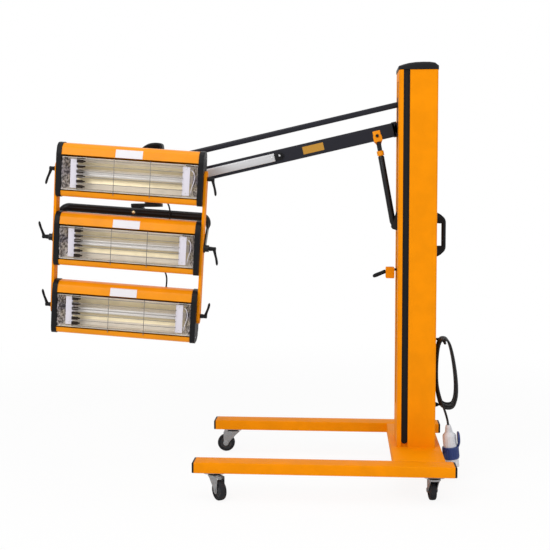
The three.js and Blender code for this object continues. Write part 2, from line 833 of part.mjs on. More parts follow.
function cableCover() {
  const half = coverHeight / 2;
  const face = coverDepth;
  const profile = polygon([
    [0, -half], [coverLip, -half], [coverDepth, coverLip - half],
    [face, half - coverLip], [coverLip, half], [0, half],
  ].map(([out, up]) => [-out, up]));
  const cover = standAlongX(slab(profile, coverLength));
  const blockEnd = coverLength + terminalLength;
  const block = boxBetween([coverLength - seatGap, blockEnd],
    [-terminalDepth / 2, 0], [coverLip / 2 - half, half - coverLip / 2]);
  const x = -coverStart - coverLength;
  const y = -armWidth / 2 - seatGap;
  const nut = barX(blockEnd - seatGap, blockEnd + glandNutLength, -terminalDepth / 4, 0, terminalDepth / 4, nutSides);
  return moved(joined(cover, block, nut), x, y);
}

function strutBracket() {
  const half = bracketLength / 2;
  const under = -armHeight / 2 - seatGap;
  const inner = armWidth / 2 + seatGap;
  const saddle = polygon([
    [-inner - bracketPlate, under - bracketPlate], [inner + bracketPlate, under - bracketPlate],
    [inner + bracketPlate, under + bracketWrap], [inner, under + bracketWrap], [inner, under],
    [-inner, under], [-inner, under + bracketWrap], [-inner - bracketPlate, under + bracketWrap],
  ]);
  const wrap = moved(standAlongX(slab(saddle, bracketLength)), -half);
  const tabHalf = bracketTabWidth / 2;
  const tabShape = polygon([
    [-half, under - bracketPlate / 2], [-tabHalf, -strutHeadDrop],
    [-tabHalf / 2, -strutHeadDrop - tabHalf], [tabHalf / 2, -strutHeadDrop - tabHalf],
    [tabHalf, -strutHeadDrop], [half, under - bracketPlate / 2],
  ]);
  const tab = moved(standAlongY(slab(tabShape, bracketTab)), 0, bracketTab / 2);
  return joined(wrap, tab);
}

function buildArm() {
  const arm = addGroup(lamp, [pivotX, 0, armPivotHeight], 0, -armSlope, 0);
  addNode('lower_arm', lowerArm(), finish.armBlack, arm);
  addNode('cable_cover', cableCover(), finish.aluminium, arm);
  addNode('strut_bracket', moved(strutBracket(), -strutHeadAlong), finish.orange, arm);
  const rod = addGroup(lamp, [pivotX, 0, armPivotHeight + linkSpacing], 0, -armSlope, 0);
  addNode('tie_rod', link(roundedRectangle(rodWidth, rodHeight, rodEdge), rodBoss), finish.armBlack, rod);
}

// Spring strut: a tube with an eye at its foot, and a rod with a clevis at its head
function strutPlaces() {
  const foot = new THREE.Vector2(columnFront - strutFootReach, strutFootHeight);
  const head = new THREE.Vector2(-strutHeadAlong, -strutHeadDrop).rotateAround(new THREE.Vector2(), slope);
  head.add(new THREE.Vector2(pivotX, armPivotHeight));
  const along = head.clone().sub(foot);
  return { foot, length: along.length(), lean: THREE.MathUtils.radToDeg(Math.atan2(along.x, along.y)) };
}

function strutCylinder() {
  const outer = strutTube / 2;
  const bore = strutBore / 2;
  const floor = strutTubeFoot + outer;
  const profile = [
    [0, strutTubeFoot - outer / 2], [outer * 2 / 3, strutTubeFoot - outer / 2], [outer, strutTubeFoot + outer / 2],
    [outer, strutTubeTop - armWall], [outer - armWall / 2, strutTubeTop], [bore, strutTubeTop],
    [bore, floor], [0, floor],
  ].map(([r, z]) => new THREE.Vector2(r, z));
  const tube = new THREE.LatheGeometry(profile, roundSides).rotateX(Math.PI / 2);
  const eye = barY(0, -strutEyeWidth / 2, strutEyeWidth / 2, 0, strutEyePin, roundSides);
  const hole = barY(0, -strutEyeWidth, strutEyeWidth, 0, strutEyePin / 2 + seatGap);
  return cutFrom(joined(tube, eye), hole);
}

function strutRodWithClevis(length) {
  const shank = length - clevisLength + clevisWidth / 2;
  const rod = barZ(0, 0, strutRodFoot, shank + seatGap, strutRod / 2, roundSides);
  const inner = bracketTab / 2 + runningGap;
  const halfThick = inner + clevisLeg;
  const half = clevisWidth / 2;
  const outline = polygon([
    [-half, shank], [half, shank], [half, length + half / 2], [half / 2, length + half],
    [-half / 2, length + half], [-half, length + half / 2],
  ]);
  const body = moved(standAlongY(slab(outline, 2 * halfThick)), 0, halfThick);
  const slot = boxBetween([-clevisWidth, clevisWidth], [-inner, inner],
    [length + half - clevisSlot, length + clevisLength]);
  const head = (side) => barY(0, side * (halfThick - seatGap), side * (halfThick + clevisLeg), length, half * 2 / 3);
  return joined(rod, cutFrom(body, slot), head(-1), head(1));
}

function buildStrut() {
  const { foot, length, lean } = strutPlaces();
  const strut = addGroup(lamp, [foot.x, 0, foot.y], 0, lean, 0);
  addNode('strut_cylinder', strutCylinder(), finish.black, strut);
  addNode('strut_rod', strutRodWithClevis(length), finish.orange, strut);
}

// Knuckle: ears that take both links, a swivel bearing and a domed top
function knuckle() {
  const upper = knucklePinZ + linkSpacing;
  const noseRadius = rodBoss / 2 + earPlate / 2;
  const nose = knucklePinX + noseRadius;
  const outline = [
    [swivelX, knucklePinZ - armHeight], [knucklePinX, knucklePinZ - noseRadius],
    [nose, knucklePinZ - noseRadius / 2], [nose, upper + noseRadius / 2],
    [knucklePinX, upper + noseRadius], [swivelX, knuckleHead - earPlate],
  ];
  const bearing = barZ(swivelX, 0, knuckleFoot, knuckleHead, knuckleDiameter / 2, roundSides);
  const bore = barZ(swivelX, 0, knuckleFoot - cutOverrun, knuckleHead - knuckleDiameter / 2,
    swivelPost / 2 + runningGap, roundSides);
  const pin = (z) => barY(knucklePinX, -earOuter - pivotPinHeadHeight / 2, earOuter + pivotPinHeadHeight / 2, z, pivotPin / 2);
  const head = (side, z) => barY(knucklePinX, side * (earOuter - runningGap),
    side * (earOuter + pivotPinHeadHeight), z, pivotPinHead / 2, nutSides);
  const body = joined(bearing, ear(outline, -earInner), ear(outline, earOuter), pin(knucklePinZ), pin(upper),
    head(-1, knucklePinZ), head(1, knucklePinZ), head(-1, upper), head(1, upper));
  return cutFrom(body, bore);
}

// The cover over the swivel bearing is a shallow dome that ends on its axis
function knuckleCover() {
  const count = 6;
  const profile = Array.from({ length: count }, (_, i) => {
    const turn = (i / count) * (Math.PI / 2);
    return new THREE.Vector2(knuckleDomeRadius * Math.cos(turn), knuckleDome * Math.sin(turn));
  });
  profile.unshift(new THREE.Vector2(0, 0));
  profile.push(new THREE.Vector2(0, knuckleDome));
  return new THREE.LatheGeometry(profile, roundSides).rotateX(Math.PI / 2);
}

function headBracket() {
  const top = knuckleFoot - seatGap;
  const foot = top - swivelPlate;
  const half = swivelPlateWidth / 2;
  const shape = new THREE.Shape();
  shape.absarc(0, 0, half, -Math.PI / 2, Math.PI / 2);
  shape.lineTo(-rollSetback, half);
  shape.lineTo(-rollSetback - half / 2, half / 2);
  shape.lineTo(-rollSetback - half / 2, -half);
  const plate = moved(slab(shape, swivelPlate, { curveSegments: 10 }), swivelX, 0, foot);
  const bushFront = -yokeForward + yokeTube / 2 + runningGap;
  const bush = barY(rollX, bushFront, half, rollHeight, rollBushDiameter / 2, roundSides);
  const boltHole = barY(rollX, bushFront - cutOverrun, half + cutOverrun, rollHeight, rollBolt / 2 + seatGap);
  const post = barZ(swivelX, 0, foot + seatGap, knuckleHead - knuckleDiameter / 2 - runningGap, swivelPost / 2, roundSides);
  return cutFrom(joined(plate, bush, post), boltHole);
}

// Yoke: a cross tube in front of the swivel bracket, with flat legs down to the head's pivots
function yoke() {
  const lean = Math.atan2(yokeReach, yokeDrop);
  const legLengthDown = Math.hypot(yokeReach, yokeDrop);
  const middle = yokeInner + yokeLeg / 2;
  const tubeEnd = middle - yokeBend;
  const tube = barX(-tubeEnd, tubeEnd, 0, 0, yokeTube / 2, roundSides);
  const strip = new THREE.Shape();
  const outer = yokeBend + yokeLeg / 2;
  const inner = yokeBend - yokeLeg / 2;
  const bendX = middle - yokeBend;
  strip.moveTo(bendX - yokeTube, yokeLeg / 2);
  strip.lineTo(bendX, yokeLeg / 2);
  strip.absarc(bendX, -yokeBend, outer, Math.PI / 2, 0, true);
  strip.lineTo(middle + yokeLeg / 2, -legLengthDown);
  strip.lineTo(middle - yokeLeg / 2, -legLengthDown);
  strip.lineTo(middle - yokeLeg / 2, -yokeBend);
  strip.absarc(bendX, -yokeBend, inner, 0, Math.PI / 2, false);
  strip.lineTo(bendX - yokeTube, -yokeLeg / 2);
  const leg = standAlongY(slab(strip, yokeLegWidth, { centred: true, curveSegments: 6 }));
  const pad = barX(yokeInner, yokeOuter, 0, -legLengthDown, yokeLegWidth / 2, roundSides);
  const boss = barX(yokeOuter - seatGap, bossOuter, 0, -legLengthDown, yokeBossDiameter / 2, roundSides);
  const right = joined(leg, pad, boss);
  const left = right.clone().rotateZ(Math.PI);
  const studHole = barX(-bossOuter - cutOverrun, bossOuter + cutOverrun, 0, -legLengthDown, leverStud / 2 + seatGap);
  return cutFrom(joined(tube, right, left), studHole).rotateX(-lean);
}

// The bolt that the yoke turns on goes through its tube into the bush behind
function rollBoltHole() {
  return barY(0, -yokeForward, yokeForward, 0, rollBolt / 2 + seatGap);
}

function rollBoltSolid() {
  const tubeFace = yokeTube / 2;
  const bolt = barY(0, -tubeFace - rollBoltHeadHeight / 2, yokeForward, 0, rollBolt / 2);
  const headFace = -tubeFace - seatGap;
  const head = barY(0, headFace - rollBoltHeadHeight, headFace, 0, rollBoltHead / 2, nutSides);
  return joined(bolt, head);
}

function sideBar() {
  const length = 2 * cassetteSpacing + 2 * barEnd;
  const shape = roundedRectangle(barWidth, length, barWidth / 2 - seatGap);
  const plate = standAlongX(slab(shape, barThickness, { curveSegments: 6 }));
  const holes = [-1, 0, 1].map((row) =>
    barX(-cutOverrun, barThickness + cutOverrun, 0, row * cassetteSpacing, leverStud / 2 + seatGap));
  return cutFrom(plate, ...holes);
}

// Cassette housing: an open trough whose upper flange curves back to a flat top.
// Each pair is a share of half the depth and a share of half the height.
const housingShares = [
  [-1, -0.77], [-0.9, -0.93], [-0.67, -1], [0.33, -1], [0.84, -0.86], [1, -0.63],
  [1, 0.63], [0.82, 0.87], [0.4, 1], [-0.4, 1], [-0.82, 0.88], [-1, 0.6],
];

function housingOutline(distance) {
  const points = housingShares.map(([deep, up]) => [deep * cassetteDepth / 2, up * cassetteHeight / 2]);
  return offsetOutline(points, distance);
}

function housing() {
  const length = cassetteLength - 2 * endCapLength + 2 * seatGap;
  const outside = standAlongX(slab(polygon(housingOutline(0)), length, { centred: true }));
  const inside = standAlongX(slab(polygon(housingOutline(-cassetteWall)), length + 2 * cutOverrun, { centred: true }));
  const reach = length / 2 + cutOverrun;
  const window = boxBetween([-reach, reach], [-cassetteDepth, reflectorLip - cassetteDepth / 2 + cassetteWall],
    [windowFoot, windowTop]);
  return joined(cutFrom(outside, inside, window), endCap(1), endCap(-1));
}

function endCap(side) {
  const depth = endCapLength - endCapRound;
  const shape = polygon(housingOutline(endCapLip - endCapRound));
  const body = standAlongX(new THREE.ExtrudeGeometry(shape, {
    depth, bevelThickness: endCapRound, bevelSize: endCapRound, bevelSegments: 2,
  }));
  const reach = cassetteHeight;
  const keep = boxBetween([0, endCapLength], [-reach, reach], [-reach, reach]);
  const stud = barX(endCapLength - leverStudSeat - runningGap, endCapLength + cutOverrun, 0, 0, leverStud / 2 + seatGap);
  const cap = moved(cutFrom(common(body, keep), stud), capFace - endCapLength);
  return side > 0 ? cap : mirrorX(cap);
}

function mirrorX(geometry) {
  const flipped = geometry.clone().toNonIndexed().scale(-1, 1, 1);
  const position = flipped.attributes.position;
  const corner = new THREE.Vector3();
  const last = new THREE.Vector3();
  for (let i = 0; i < position.count; i += 3) {
    corner.fromBufferAttribute(position, i + 1);
    last.fromBufferAttribute(position, i + 2);
    position.setXYZ(i + 1, last.x, last.y, last.z);
    position.setXYZ(i + 2, corner.x, corner.y, corner.z);
  }
  return flipped;
}

// Faceted reflector: shares of half the depth, and of half the window height from its middle
const reflectorShares = [
  [-0.9, 0.93], [-0.1, 0.87], [0.36, 0.6], [0.55, 0.24], [0.55, -0.24], [0.36, -0.6], [-0.1, -0.87], [-0.9, -0.93],
];

function reflectorLine() {
  return reflectorShares.map(([deep, up]) => [deep * cassetteDepth / 2, windowCentre + up * windowHeight / 2]);
}

function reflector() {
  const length = cassetteLength - 2 * endCapLength - 4 * seatGap;
  const trough = standAlongX(slab(polygon(sheetOutline(reflectorLine(), reflectorSheet)), length, { centred: true }));
  const hollow = standAlongX(slab(polygon(reflectorLine()), length, { centred: true }));
  const mirrorDepth = 2 * cassetteDepth;
  const endMirror = (side) => {
    const plate = boxBetween([-reflectorSheet / 2, reflectorSheet / 2], [-mirrorDepth, mirrorDepth],
      [-cassetteHeight, cassetteHeight]);
    plate.rotateZ(side * THREE.MathUtils.degToRad(endMirrorLean));
    return common(moved(plate, side * (length / 2 - endMirrorInset)), hollow);
  };
  return joined(trough, endMirror(-1), endMirror(1));
}

// Twin quartz tube in two sockets, each behind a white shield plate
function quartzLamp() {
  const reach = cassetteLength / 2 - shieldSetback - shieldWidth + socketLength / 2;
  const backFace = reflectorShares[3][0] * cassetteDepth / 2 - seatGap;
  const tubeY = backFace - socketHeight;
  const tube = (side) => barX(-reach, reach, tubeY, windowCentre + side * quartzDiameter / 2, quartzDiameter / 2, 10);
  const web = boxBetween([-reach, reach], [tubeY - quartzWeb / 2, tubeY + quartzWeb / 2],
    [windowCentre - quartzWeb, windowCentre + quartzWeb]);
  const outerX = cassetteLength / 2 - shieldSetback;
  const innerX = outerX - shieldWidth;
  const front = -cassetteDepth / 2 + shieldDepth;
  const ends = [-1, 1].flatMap((side) => {
    const span = side > 0 ? [innerX, outerX] : [-outerX, -innerX];
    const seat = side > 0 ? [innerX, innerX + socketLength] : [-innerX - socketLength, -innerX];
    return [
      boxBetween(span, [front, front + shieldThickness], [windowCentre - shieldHeight / 2, windowCentre + shieldHeight / 2]),
      boxBetween(seat, [front + shieldThickness / 2, backFace], [windowCentre - socketHeight / 2, windowCentre + socketHeight / 2]),
    ];
  });
  return joined(tube(-1), tube(1), web, ...ends);
}

// Wire guard: long wires welded behind four upright wires that lap the window's lips
const grilleUprightShares = [-0.86, -0.23, 0.32, 0.86];

function grille() {
  const half = cassetteLength / 2 - endCapLength - grilleWire;
  const radius = grilleWire / 2;
  const uprightY = -cassetteDepth / 2 - seatGap - radius;
  const longY = uprightY + grilleWire - grilleWeld;
  const spacing = windowHeight / grilleBars;
  const wires = Array.from({ length: grilleBars }, (_, i) => {
    const z = windowFoot + (i + 1 / 2) * spacing;
    return barX(-half, half, longY, z, radius, wireSides);
  });
  const uprights = grilleUprightShares.map((share) => bar(
    [share * half, uprightY, windowFoot - grilleLap], [share * half, uprightY, windowTop], radius, radius, wireSides));
  return joined(...wires, ...uprights);
}

// Clamp lever on the +X side: a hub on the pivot axis, a stud inwards and a kicked-out handle
function clampLever(studLength) {
  const hub = barX(0, leverHubLength, 0, 0, leverHubDiameter / 2);
  const stud = barX(-studLength, seatGap, 0, 0, leverStud / 2, cordSides);
  const rootX = leverHubLength - leverRoot;
  const arm = bar([rootX, 0, 0], [rootX + leverKick, 0, leverReach], leverRoot, leverTip, cordSides);
  const tip = moved(new THREE.SphereGeometry(leverTip, cordSides, 4), rootX + leverKick, 0, leverReach);
  return joined(hub, stud, arm, tip);
}

const leverPlaces = [
  { name: 'top_left', side: -1, row: 1, turn: 170 },
  { name: 'middle_left', side: -1, row: 0, turn: 15 },
  { name: 'bottom_left', side: -1, row: -1, turn: 12 },
  { name: 'top_right', side: 1, row: 1, turn: 168 },
  { name: 'middle_right', side: 1, row: 0, turn: 165 },
  { name: 'bottom_right', side: 1, row: -1, turn: 20 },
];

function buildHead() {
  addNode('knuckle', knuckle(), finish.armBlack);
  addNode('knuckle_cover', moved(knuckleCover(), swivelX, 0, knuckleHead + seatGap), finish.plastic);
  addNode('head_bracket', headBracket(), finish.black);
  const roll = addGroup(lamp, [rollX, -yokeForward, rollHeight], 0, headRoll, 0);
  addNode('yoke', cutFrom(yoke(), rollBoltHole()), finish.black, roll);
  addNode('roll_bolt', rollBoltSolid(), finish.brass, roll);
  const frame = addGroup(roll, [0, -yokeReach, -yokeDrop], headTilt, 0, 0);
  addNode('left_side_bar', moved(sideBar(), -barOuter), finish.orange, frame);
  addNode('right_side_bar', moved(sideBar(), barInner), finish.orange, frame);
  for (const [row, name] of [[1, 'top'], [0, 'middle'], [-1, 'bottom']]) {
    const cassette = addGroup(frame, [0, 0, row * cassetteSpacing]);
    addNode(`${name}_housing`, housing(), finish.orange, cassette);
    addNode(`${name}_reflector`, reflector(), finish.mirror, cassette);
    addNode(`${name}_lamp`, quartzLamp(), finish.quartz, cassette);
    addNode(`${name}_grille`, grille(), finish.steel, cassette);
  }
  for (const { name, side, row, turn } of leverPlaces) {
    const seat = (row === 0 ? bossOuter : barOuter) + seatGap;
    const studLength = seat - capFace + leverStudSeat;
    const lever = addGroup(frame, [side * seat, 0, row * cassetteSpacing], turn, 0, 0);
    const shape = clampLever(studLength);
    addNode(`lever_${name}`, side > 0 ? shape : mirrorX(shape), finish.plastic, lever);
  }
  addNode('upper_link_lead', linkLead(cassetteSpacing), finish.cable, frame);
  addNode('lower_link_lead', linkLead(0), finish.cable, frame);
}

// Leads that hang between the cassettes, from one back to the next
const linkLeadDiameter = 6.5;
const linkLeadX = 118;
const linkLeadSag = 26;

function linkLead(z) {
  const back = cassetteDepth / 2 + seatGap;
  const clear = back + linkLeadDiameter;
  const lowEdge = cassetteHeight / 4;
  const points = [
    [0, back, z - lowEdge], [0, clear, z - lowEdge], [0, clear + linkLeadSag / 2, z - lowEdge - linkLeadSag],
    [linkLeadSag, clear + linkLeadSag / 2, z - cassetteSpacing / 2],
    [linkLeadSag, clear + linkLeadSag / 2, z - cassetteSpacing + lowEdge + linkLeadSag],
    [linkLeadSag, clear, z - cassetteSpacing + lowEdge], [linkLeadSag, back, z - cassetteSpacing + lowEdge],
  ].map(([x, y, up]) => new THREE.Vector3(x + linkLeadX, y, up));
  return sweep(new THREE.CatmullRomCurve3(points), linkLeadDiameter / 2, 20, cordSides);
}

// Cord hook: a plate on the rear face, and a bent rod with a stop at its open end
function cordHook() {
  const face = columnRear + seatGap;
  const x = columnRear + hookReach;
  const half = hookSpan / 2;
  const stemY = half - hookPeg / 2;
  const plate = boxBetween([face, face + hookPlate], [stemY - hookPlateWidth / 2, stemY + hookPlateWidth / 2],
    [hookHeight - hookPlateHeight / 2, hookHeight + hookPlateHeight / 2]);
  const stem = barX(face + hookPlate / 2, x, stemY, hookHeight, hookPeg / 2);
  const elbow = moved(new THREE.SphereGeometry(hookPeg / 2, pinSides, wireSides), x, stemY, hookHeight);
  const peg = barY(x, -half, stemY, hookHeight, hookPeg / 2);
  const stop = boxBetween([x - hookPeg / 2, x + hookPeg / 2], [-half, hookStopThickness - half],
    [hookHeight, hookHeight + hookStop]);
  return joined(plate, stem, elbow, peg, stop);
}

// The cord leaves the column level with the bottom of the hank's first turn
const hankEntry = hankPoint(-1 / 4);
const glandSide = hankEntry.y;
const glandHeight = hankEntry.z;

function cordGland() {
  const face = columnRear + seatGap;
  const inner = columnRear - columnWall;
  const tip = columnRear + glandLength;
  const profile = [
    [0, inner], [glandDiameter / 2, inner], [glandDiameter / 2, face], [glandFlange / 2, face],
    [glandFlange / 2, face + glandFlangeThickness], [glandDiameter / 2, face + 2 * glandFlangeThickness],
    [glandTip / 2, tip], [0, tip],
  ].map(([r, along]) => new THREE.Vector2(r, along));
  return new THREE.LatheGeometry(profile, roundSides).rotateZ(-Math.PI / 2).translate(0, glandSide, glandHeight);
}

// One turn of the hank goes round two circles, a small one over the peg and a larger one below
function hankPoint(turns) {
  const angle = turns * 2 * Math.PI;
  const sway = hankSway * Math.sin(turns * hankSwayRate);
  const topX = columnRear + hookReach;
  const topZ = hookHeight + hookPeg / 2 + cordDiameter / 2 + hankSlack - hankTopRadius;
  const footX = topX + hankFootShift + sway / 2;
  const footZ = topZ - hankDrop + sway;
  const up = THREE.MathUtils.smoothstep((1 + Math.sin(angle)) / 2, 0, 1);
  const radius = THREE.MathUtils.lerp(hankFootRadius, hankTopRadius, up);
  const x = THREE.MathUtils.lerp(footX, topX, up) + radius * Math.cos(angle);
  const z = THREE.MathUtils.lerp(footZ, topZ, up) + radius * Math.sin(angle);
  return new THREE.Vector3(x, (hankTurns / 2 - turns) * hankSpacing, z);
}

// The hank's path steps evenly by turn, with a straight lead of one diameter at each end
class HankPath extends THREE.Curve {
  constructor(points) {
    super();
    this.points = points;
  }

  getPoint(share) {
    const place = share * (this.points.length - 1);
    const whole = Math.min(Math.floor(place), this.points.length - 2);
    return this.points[whole].clone().lerp(this.points[whole + 1], place - whole);
  }

  getPointAt(share) {
    return this.getPoint(share);
  }

  getTangentAt(share) {
    const place = Math.round(share * (this.points.length - 1));
    const before = this.points[Math.max(place - 1, 0)];
    const after = this.points[Math.min(place + 1, this.points.length - 1)];
    return after.clone().sub(before).normalize();
  }
}

function leastGap(points) {
  let least = Infinity;
  points.forEach((point, i) => {
    for (let j = i + hankSteps / 2; j < points.length; j += 1) {
      least = Math.min(least, point.distanceTo(points[j]) - cordDiameter);
    }
  });
  return least;
}

// Industrial plug hanging with its cord entry upwards: a tapered body, a collar and a shroud
function plug() {
  const body = plugDiameter / 2;
  const shroud = plugShroud / 2;
  const collarTop = plugShroudLength + plugCollarLength - plugLength;
  const face = plugShroudDepth - plugLength;
  const profile = [
    [0, 0], [plugNeck / 2, 0], [plugNeck * 2 / 3, -plugNeckLength], [body, -plugNeckLength * 3 / 2],
    [body, collarTop], [plugCollar / 2, collarTop - seatGap], [plugCollar / 2, plugShroudLength - plugLength],
    [shroud, plugShroudLength - plugLength - seatGap], [shroud, -plugLength],
    [shroud - plugShroudWall, -plugLength], [shroud - plugShroudWall, face], [0, face],
  ].reverse().map(([r, z]) => new THREE.Vector2(r, z));
  const shell = new THREE.LatheGeometry(profile, roundSides).rotateX(Math.PI / 2);
  const pins = Array.from({ length: plugPins }, (_, i) => {
    const turn = (i / plugPins) * 2 * Math.PI;
    return barZ(plugPinCircle * Math.cos(turn), plugPinCircle * Math.sin(turn),
      face - plugPinLength, face + plugShroudWall, plugPin / 2, wireSides);
  });
  return joined(shell, ...pins);
}

function buildCord() {
  const first = -1 / 4;
  const last = hankTurns - 1 / 2;
  const steps = (last - first) * hankSteps;
  const turnPoints = Array.from({ length: steps + 1 }, (_, i) => hankPoint(first + i / hankSteps));
  const down = new THREE.Vector3(0, 0, -cordDiameter);
  const out = new THREE.Vector3(cordDiameter, 0, 0);
  const start = turnPoints[0].clone().sub(out);
  const end = turnPoints[steps].clone().add(down);
  const hankPath = new HankPath([start, ...turnPoints, end]);
  addNode('cord_hank', sweep(hankPath, cordDiameter / 2, steps + 2, hankSides), finish.cable);
  console.log(`hank: least gap to itself ${leastGap(turnPoints).toFixed(2)} mm`);
  console.log(`hank: length ${hankPath.getLength().toFixed(0)} mm`);

  const glandExit = new THREE.Vector3(columnRear + glandLength + seatGap, start.y, start.z);
  const powerPath = new THREE.LineCurve3(glandExit, start.clone().setX(start.x - seatGap));
  addNode('power_cord', sweep(powerPath, cordDiameter / 2, 1, cordSides), finish.cable);

  const plugTop = new THREE.Vector3(columnRear + plugStandoff, -plugForward, plugHeight);
  const plugGroup = addGroup(lamp, plugTop.toArray(), 0, -plugLean, 0);
  addNode('plug', plug(), finish.plugBlue, plugGroup);
  const upright = new THREE.Vector3(0, 0, 1).applyEuler(plugGroup.rotation);
  const plugPath = new THREE.CubicBezierCurve3(
    end.clone().add(new THREE.Vector3(0, 0, -seatGap)),
    end.clone().add(new THREE.Vector3(0, 0, -hankHandle)),
    plugTop.clone().addScaledVector(upright, plugHandle),
    plugTop.clone().addScaledVector(upright, seatGap),
  );
  addNode('plug_lead', sweep(plugPath, cordDiameter / 2, 10, cordSides), finish.cable);
  console.log(`leads: lengths ${powerPath.getLength().toFixed(0)} and ${plugPath.getLength().toFixed(0)} mm`);
}

// The origin stands on the floor under the middle of everything but the loose cord and plug
function centreOnFloor() {
  lamp.updateMatrixWorld(true);
  const bounds = new THREE.Box3();
  lamp.traverse((mesh) => {
    if (mesh.isMesh && !['power_cord', 'cord_hank', 'plug_lead', 'plug'].includes(mesh.name)) {
      bounds.expandByObject(mesh, true);
    }
  });
  const middle = bounds.getCenter(new THREE.Vector3());
  lamp.position.set(-middle.x, -middle.y, -bounds.min.z);
  lamp.updateMatrixWorld(true);
}

buildBase();
buildCasters();
buildColumn();
addNode('push_handle', pushHandle(), finish.plastic);
buildCarriage();
buildArm();
buildStrut();
buildHead();
addNode('cord_hook', cordHook(), finish.black);
addNode('cord_gland', cordGland(), finish.plastic);
buildCord();
centreOnFloor();

export default lamp;
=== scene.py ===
import json
import logging
import math
from dataclasses import dataclass
from enum import Enum
from typing import Callable, Iterable, Sequence

import bmesh
import bpy
from mathutils import Euler, Matrix, Vector, noise

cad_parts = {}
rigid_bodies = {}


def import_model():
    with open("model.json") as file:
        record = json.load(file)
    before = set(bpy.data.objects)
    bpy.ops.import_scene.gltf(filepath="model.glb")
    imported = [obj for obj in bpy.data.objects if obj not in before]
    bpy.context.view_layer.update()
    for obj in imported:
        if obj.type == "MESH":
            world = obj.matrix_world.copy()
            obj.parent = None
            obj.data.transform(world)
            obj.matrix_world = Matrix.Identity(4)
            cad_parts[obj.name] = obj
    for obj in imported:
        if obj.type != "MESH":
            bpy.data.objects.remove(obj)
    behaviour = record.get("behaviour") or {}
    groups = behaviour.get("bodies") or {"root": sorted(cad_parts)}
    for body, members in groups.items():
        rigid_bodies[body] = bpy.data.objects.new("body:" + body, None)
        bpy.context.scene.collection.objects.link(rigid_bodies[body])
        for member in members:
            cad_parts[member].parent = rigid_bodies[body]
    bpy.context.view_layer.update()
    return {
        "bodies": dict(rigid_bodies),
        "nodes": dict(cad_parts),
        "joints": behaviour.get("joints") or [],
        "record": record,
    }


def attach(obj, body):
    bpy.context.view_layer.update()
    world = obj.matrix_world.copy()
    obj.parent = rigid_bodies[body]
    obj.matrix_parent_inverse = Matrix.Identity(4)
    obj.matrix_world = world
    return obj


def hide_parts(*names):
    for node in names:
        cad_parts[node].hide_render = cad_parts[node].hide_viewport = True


Point = tuple[float, float, float]
Pair = tuple[float, float]
MM = 0.001
MERGE = 0.002
CUT = 0.0001
SIDES = (-1, 1)
SOOT = (0.007, 0.007, 0.008)
SCUFF = (0.16, 0.16, 0.17)

log = logging.getLogger("lamp")


# Finishes


class Wire:
    """A socket of a shader tree that works in Python sums."""

    def __init__(self, surface: "Surface", socket: bpy.types.NodeSocket) -> None:
        """Keeps the socket and the surface that it belongs to."""
        self.surface = surface
        self.socket = socket

    def _with(self, operation: str, other: "Wire | float", turned: bool = False) -> "Wire":
        """One Math node of this socket and another value.

        Args:
            operation: the Math node's operation.
            other: the second value.
            turned: whether the other value comes first.

        Returns:
            The result's socket.
        """
        pair = (other, self) if turned else (self, other)
        made = self.surface.node("ShaderNodeMath", {"operation": operation}, {0: pair[0], 1: pair[1]})
        return self.surface.out(made, 0)

    def __add__(self, other: "Wire | float") -> "Wire":
        """Sum."""
        return self._with("ADD", other)

    def __radd__(self, other: float) -> "Wire":
        """Sum, from the right."""
        return self._with("ADD", other)

    def __sub__(self, other: "Wire | float") -> "Wire":
        """Difference."""
        return self._with("SUBTRACT", other)

    def __rsub__(self, other: float) -> "Wire":
        """Difference, from the right."""
        return self._with("SUBTRACT", other, True)

    def __mul__(self, other: "Wire | float") -> "Wire":
        """Product."""
        return self._with("MULTIPLY", other)

    def __rmul__(self, other: float) -> "Wire":
        """Product, from the right."""
        return self._with("MULTIPLY", other)

    def between(self, low: float, high: float) -> "Wire":
        """Share of the way from low to high, smoothed and kept from 0 to 1.

        Args:
            low: the value that gives 0.
            high: the value that gives 1.

        Returns:
            The share.
        """
        settings = {"interpolation_type": "SMOOTHSTEP", "clamp": True}
        made = self.surface.node("ShaderNodeMapRange", settings,
                                 {"Value": self, "From Min": low, "From Max": high})
        return self.surface.out(made, "Result")


